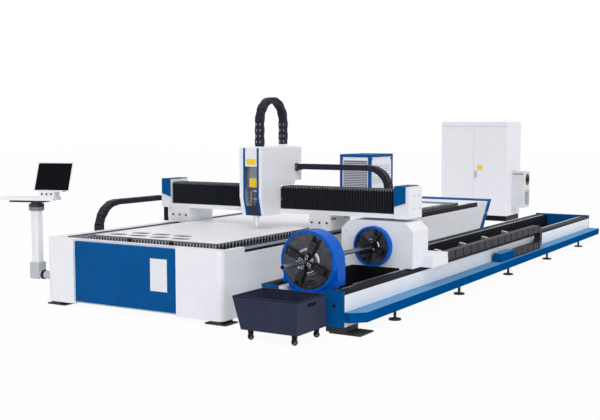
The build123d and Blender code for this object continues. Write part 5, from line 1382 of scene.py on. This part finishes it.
@dataclass
class Cabinet:
    """The cabinet's door plate and side slots, and the guards and grille of its cooler."""

    door_plate: Rect = ((0.548, 0.643), (0.957, 1.047))
    plate: float = 0.002
    slot: Triple = (0.004, 0.36, 0.012)
    slot_start: Span = (10.72, 1.46)
    slot_pitch: float = 0.030
    slot_count: int = 8
    fan_level: float = 0.780
    fan_rings: tuple[float, ...] = (0.030, 0.054, 0.078, 0.102)
    wire: float = 0.003
    wire_out: Span = (0.001, 0.006)
    spokes: int = 4
    spoke: Triple = (0.003, 0.104, 0.002)
    spoke_out: float = 0.0035
    cooler_plate: Triple = (0.045, 0.590, 0.650)
    cooler_skin: float = 0.0015
    grille: Triple = (0.110, 0.300, 0.545)
    grille_skin: float = 0.001
    grille_edge: float = 0.0004
    grille_bar: Triple = (0.004, 0.212, 0.012)
    bar_start: float = 0.308
    bar_pitch: float = 0.026
    bar_count: int = 9
    vent: Rect = ((1.150, 1.350), (0.872, 0.892))

    def build(self) -> None:
        """Make the cabinet's small parts."""
        low, _ = reach("cabinet_body")
        across, levels = self.door_plate
        plate = Solid().block(across, (low.y - self.plate, low.y), levels)
        plate.piece("door_plate", YELLOW_PLATE, "right_door")
        self.guard()
        start = at(low.x - self.slot[0], *self.slot_start)
        slots = Solid().stack(start, Vector(self.slot), self.slot_pitch, self.slot_count, SLOT)
        slots.piece("cabinet_side_slots", GRILLE_GREY, "base")

    def guard(self) -> None:
        """Wire rings over the fan, a plain plate, a grille and a vent on the cooler."""
        low, high = reach("cabinet_cooler")
        side, y = high.x, (low.y + high.y) / 2
        rings, wire, (foot, top) = Solid(), self.wire, self.wire_out
        for radius in self.fan_rings:
            inner, outer = radius - wire, radius + wire
            section = [(foot, inner), (top, inner), (top, outer), (foot, outer)]
            rings.turned(section, at(side, y, self.fan_level), RIGHT, 32)
        middle, size = at(side + self.spoke_out, y, self.fan_level), Vector(self.spoke)
        for i in range(self.spokes):
            rings.box(middle - size, middle + size, 0.0, 1, Matrix.Rotation(pi * i / self.spokes, 4, "X"))
        smooth(rings.piece("fan_guard", BLACK_COAT, "base", "black_coat"))
        half, *levels = self.cooler_plate
        plate = Solid().block((side, side + self.cooler_skin), (y - half, y + half), levels, FINE)
        plate.piece("cooler_plate", YELLOW_PLATE, "base")
        half, *levels = self.grille
        skin, size = self.grille_skin, Vector(self.grille_bar)
        recess = Solid().block((side, side + skin), (y - half, y + half), levels, self.grille_edge)
        start = at(side + skin, y - size.y / 2, self.bar_start)
        bars = Solid().stack(start, size, self.bar_pitch, self.bar_count, SLOT)
        across, levels = self.vent
        recess.block(across, (low.y - skin, low.y), levels, FOIL)
        recess.piece("cooler_grille_recess", GRILLE_DARK, "base")
        bars.piece("cooler_grille_bars", GRILLE_GREY, "base")


@dataclass
class Console:
    """The turning head of the operator's console: the screen's glass and a port under it.

    The screen's place is from the post's axis, before the head's turn. The glass and the port lie
    in the screen's own frame, with x across, y up the glass and z out of it.
    """

    yaw: float = 18.0
    lean: float = 22.0
    screen: Triple = (0.185, -0.044, 1.1093)
    width: float = 0.400
    height: float = 0.320
    margin: float = 0.017
    glass: Span = (-0.0028, -0.0008)
    port: Block = ((0.120, 0.160), (0.005, 0.011), (0.0, 0.0006))
    port_edge: float = 0.0002

    def build(self) -> None:
        """Make the glass in the screen's recess and the port."""
        post = sum(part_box("console_post"), Vector()) / 2
        turn = Matrix.Translation((post.x, post.y, 0.0)) @ Matrix.Rotation(radians(self.yaw), 4, "Z")
        lean = Matrix.Rotation(radians(90.0 - self.lean), 4, "X")
        place = turn @ Matrix.Translation(self.screen) @ lean
        half, top = self.width / 2 - self.margin, self.height - self.margin
        back, front = self.glass
        glass = Solid().box(Vector((-half, self.margin, back)), Vector((half, top, front)), FINE, 2)
        port = Solid().box(*(Vector(corner) for corner in zip(*self.port)), self.port_edge)
        for solid in (glass, port):
            bmesh.ops.transform(solid.mesh, matrix=place, verts=solid.mesh.verts)
        glass.piece("screen_glass", SCREEN_GLASS, "console_head")
        port.piece("screen_port", BLACK_PLASTIC, "console_head")


@dataclass
class Cart:
    """The rolled rim and the casters of the drop cart.

    A tread's corners are steps in from its side and down from its radius. A fork's cheek is wider
    at the top than round the axle.
    """

    rim: float = 0.012
    rim_levels: Span = (-0.008, 0.004)
    wheel: float = 0.028
    tread: float = 0.022
    tread_steps: tuple[Span, ...] = ((0.0, 0.006), (0.003, 0.001), (0.006, 0.0))
    bore: float = 0.5
    hub: float = 0.52
    hub_out: float = 0.001
    off_floor: float = 0.0002
    caster_plate: float = 0.060
    caster_reach: float = 0.034
    plate: float = 0.006
    cheek: float = 0.003
    cheek_gap: float = 0.004
    cheek_foot: float = 0.010
    cheek_top: float = 0.020

    def build(self) -> None:
        """Make the cart's rim and casters."""
        (left, front, _), (right, back, top) = reach("cart_tub")
        levels = tuple(top + level for level in self.rim_levels)
        rim, wide = Solid(), self.rim
        for across, along in (
            ((left, right), (front, front + wide)),
            ((left, right), (back - wide, back)),
            ((left, left + wide), (front, back)),
            ((right - wide, right), (front, back)),
        ):
            rim.block(across, along, levels, MOULDED, 2)
        rim.piece("cart_rim", SLATE_COAT, "base", "slate_coat")
        self.casters()

    def casters(self) -> None:
        """Four casters, each a wheel with a hub in a fork under a plate."""
        low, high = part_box("cart_casters")
        half, r, w = self.caster_plate / 2, self.wheel, self.tread / 2
        tyre = [(-w + side, r - drop) for side, drop in self.tread_steps]
        tyre += [(w - side, r - drop) for side, drop in reversed(self.tread_steps)]
        tyre += [(w, r * self.bore), (-w, r * self.bore)]
        wheels, hubs, forks = Solid(), Solid(), Solid()
        for x, y in product(
            (low.x + self.caster_reach, high.x - self.caster_reach), (low.y + half, high.y - half)
        ):
            axle = Vector((x, y, r + self.off_floor))
            wheels.turned(tyre, axle, BACK, 28)
            out = BACK * (w + self.hub_out)
            hubs.rod(axle - out, axle + out, r * self.hub, 20, BAR)
            foot, top, rise = self.cheek_foot, self.cheek_top, high.z - self.cheek_gap - axle.z
            shape = [(-foot, -foot), (foot, -foot), (top, rise), (-top, rise)]
            for hand in Side:
                side = axle + BACK * (hand.value * (w + self.cheek_gap) - self.cheek / 2)
                forks.prism([side + RIGHT * p + UP * q for p, q in shape], BACK * self.cheek)
            crown = Vector((x, y, high.z))
            corner = Vector((half, half, 0.0))
            forks.box(crown - corner - UP * self.plate, crown + corner, BAR)
        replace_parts(smooth(wheels.piece("caster_wheels", RUBBER, "base")), "cart_casters")
        smooth(hubs.piece("caster_hubs", BAR_STEEL, "base"))
        forks.piece("caster_forks", BLACK_COAT, "base", "black_coat")


@dataclass
class BedPanels:
    """Screws, a plain plate and a pale seam on the bed's panels.

    The front panel's screws are at shares of its width, and its plate stands out of its front. The
    seam runs between the two plates of the raked rear panel.
    """

    panel_screws: Span = (0.04, 0.95)
    screw_rise: float = 0.035
    plate: Block = ((1.296, 1.492), (-0.0015, 0.0), (0.246, 0.548))
    side_start: float = 0.25
    side_pitch: float = 0.65
    side_count: int = 10
    side_levels: Span = (0.110, 0.600)
    seam_run: Span = (6.577, 6.7455)
    seam_levels: Span = (0.504, 0.511)
    seam_out: float = 0.0012

    def build(self) -> None:
        """Make the panels' small parts."""
        low, high = reach("front_panel")
        across = [low.x + (high.x - low.x) * share for share in self.panel_screws]
        places = spots(across, (low.y,), (low.z + self.screw_rise,), -BACK)
        Screws("panel_screws", "base", places, radius=0.008, tall=0.003).build()
        across, deep, levels = self.plate
        plate = Solid().block(across, tuple(low.y + y for y in deep), levels)
        plate.piece("panel_plate", WHITE_PLATE, "base")
        along = [self.side_start + self.side_pitch * i for i in range(self.side_count)]
        places = spots((0.0,), along, self.side_levels, -RIGHT)
        Screws("bed_side_screws", "base", places, radius=0.010, tall=0.004, finish=SCREW_ZINC).build()
        low, high = reach("rear_panel")
        seam = Solid().block((low.x - self.seam_out, high.x + self.seam_out), self.seam_run, self.seam_levels)
        seam.piece("rear_panel_seam", WHITE_COAT, "base", "white_coat")


@dataclass
class Studio:
    """The camera, the lamps, the floor and the surroundings.

    Lamps have a name, power, softness in degrees and turns about X, Y and Z.
    """

    place: Triple = (5.608, -12.241, 1.742)
    pitch: float = 90.0 - 4.885
    yaw: float = 30.913
    lens: float = 57.4
    sensor: float = 36.0
    sight: float = 500.0
    lamps: tuple[tuple[str, float, float, tuple[float, ...]], ...] = (
        ("main_lamp", 1.62, 70.0, (64.0, 0.0, 50.0)),
        ("top_lamp", 0.70, 60.0, (18.0, 0.0, -40.0)),
    )
    sky_light: float = 0.5
    floor_size: float = 120.0
    floor_glow: float = 0.94

    def build(self) -> None:
        """Set the whole studio: a broad lamp from the front right and a weaker one from above."""
        self.camera()
        for name, power, soft, turn in self.lamps:
            data = bpy.data.lights.new(name, "SUN")
            data.energy, data.angle = power, radians(soft)
            self.show(name, data).rotation_euler = tuple(radians(v) for v in turn)
        self.surroundings()
        self.floor()
        bpy.context.scene.view_settings.view_transform = "Standard"

    def show(self, name: str, data: bpy.types.ID) -> Piece:
        """Put a camera, a lamp or a mesh into the scene as an object."""
        made = bpy.data.objects.new(name, data)
        bpy.context.scene.collection.objects.link(made)
        return made

    def camera(self) -> None:
        """The camera at the photograph's angle."""
        data = bpy.data.cameras.new("camera")
        data.lens, data.sensor_width, data.clip_end = self.lens, self.sensor, self.sight
        made = self.show("camera", data)
        made.location = self.place
        made.rotation_euler = (radians(self.pitch), 0.0, radians(self.yaw))
        bpy.context.scene.camera = made

    def surroundings(self) -> None:
        """A white world for what is seen and mirrored, dimmer where it lights."""
        world = bpy.data.worlds.new("studio")
        bpy.context.scene.world = world
        world.use_nodes = True
        tree = world.node_tree
        tree.nodes.clear()
        rays = add_node(tree, "LightPath").outputs
        through = larger(tree, rays["Is Glossy Ray"], rays["Is Transmission Ray"])
        seen = larger(tree, rays["Is Camera Ray"], through)
        strength = add_node(tree, "MapRange", {"To Min": self.sky_light, "To Max": 1.0}, Value=seen)
        white = {"Color": linear("#FFFFFF")}
        glow = add_node(tree, "Background", white, Strength=strength.outputs["Result"])
        add_node(tree, "OutputWorld", Surface=glow.outputs["Background"])

    def floor(self) -> None:
        """A pale floor that is white to the eye and keeps the machine's shadow."""
        plane = bmesh.new()
        bmesh.ops.create_grid(plane, x_segments=4, y_segments=4, size=self.floor_size / 2)
        data = bpy.data.meshes.new("floor")
        plane.to_mesh(data)
        plane.free()
        paint = bpy.data.materials.new("studio_floor")
        paint.use_nodes = True
        tree = paint.node_tree
        tree.nodes.clear()
        rays = add_node(tree, "LightPath").outputs
        seen = larger(tree, rays["Is Camera Ray"], rays["Is Glossy Ray"])
        share = add_node(tree, "Math", {"operation": "MULTIPLY", "#1": self.floor_glow}, in0=seen)
        matt = add_node(tree, "BsdfDiffuse", {"Color": linear("#F4F4F5")}).outputs["BSDF"]
        glow = add_node(tree, "Emission", {"Color": linear("#FFFFFF"), "Strength": 1.0}).outputs["Emission"]
        mix = add_node(tree, "MixShader", in0=share.outputs["Value"], in1=matt, in2=glow)
        add_node(tree, "OutputMaterial", Surface=mix.outputs["Shader"])
        data.materials.append(paint)
        self.show("floor", data)


def main() -> None:
    """Build the scene piece by piece."""
    logging.basicConfig(level=logging.INFO, format="%(name)s %(message)s")
    Studio().build()
    dress_nodes()
    front = {"guide": (0.130, 0.236), "ribs": (0.095, 0.196), "arcs": (0.084, 0.122), "tip": (0.026, 0.068)}
    rear = {"guide": (0.080, 0.176), "ribs": (0.070, 0.128), "arcs": (0.062, 0.080), "tip": (0.030, 0.060)}
    for part in (
        SlatTable(),
        Bellows(Side.LEFT),
        Bellows(Side.RIGHT),
        Chains(),
        HeadUnit(),
        GantryTrim(),
        Chuck("front", rise=0.026, slot=0.052, **front),
        Chuck("rear", rise=0.024, slot=0.046, **rear),
        TubeBed(),
        Headstock(),
        Chiller(),
        Cabinet(),
        Console(),
        Cart(),
        BedPanels(),
    ):
        part.build()


if __name__ == "__main__":
    main()
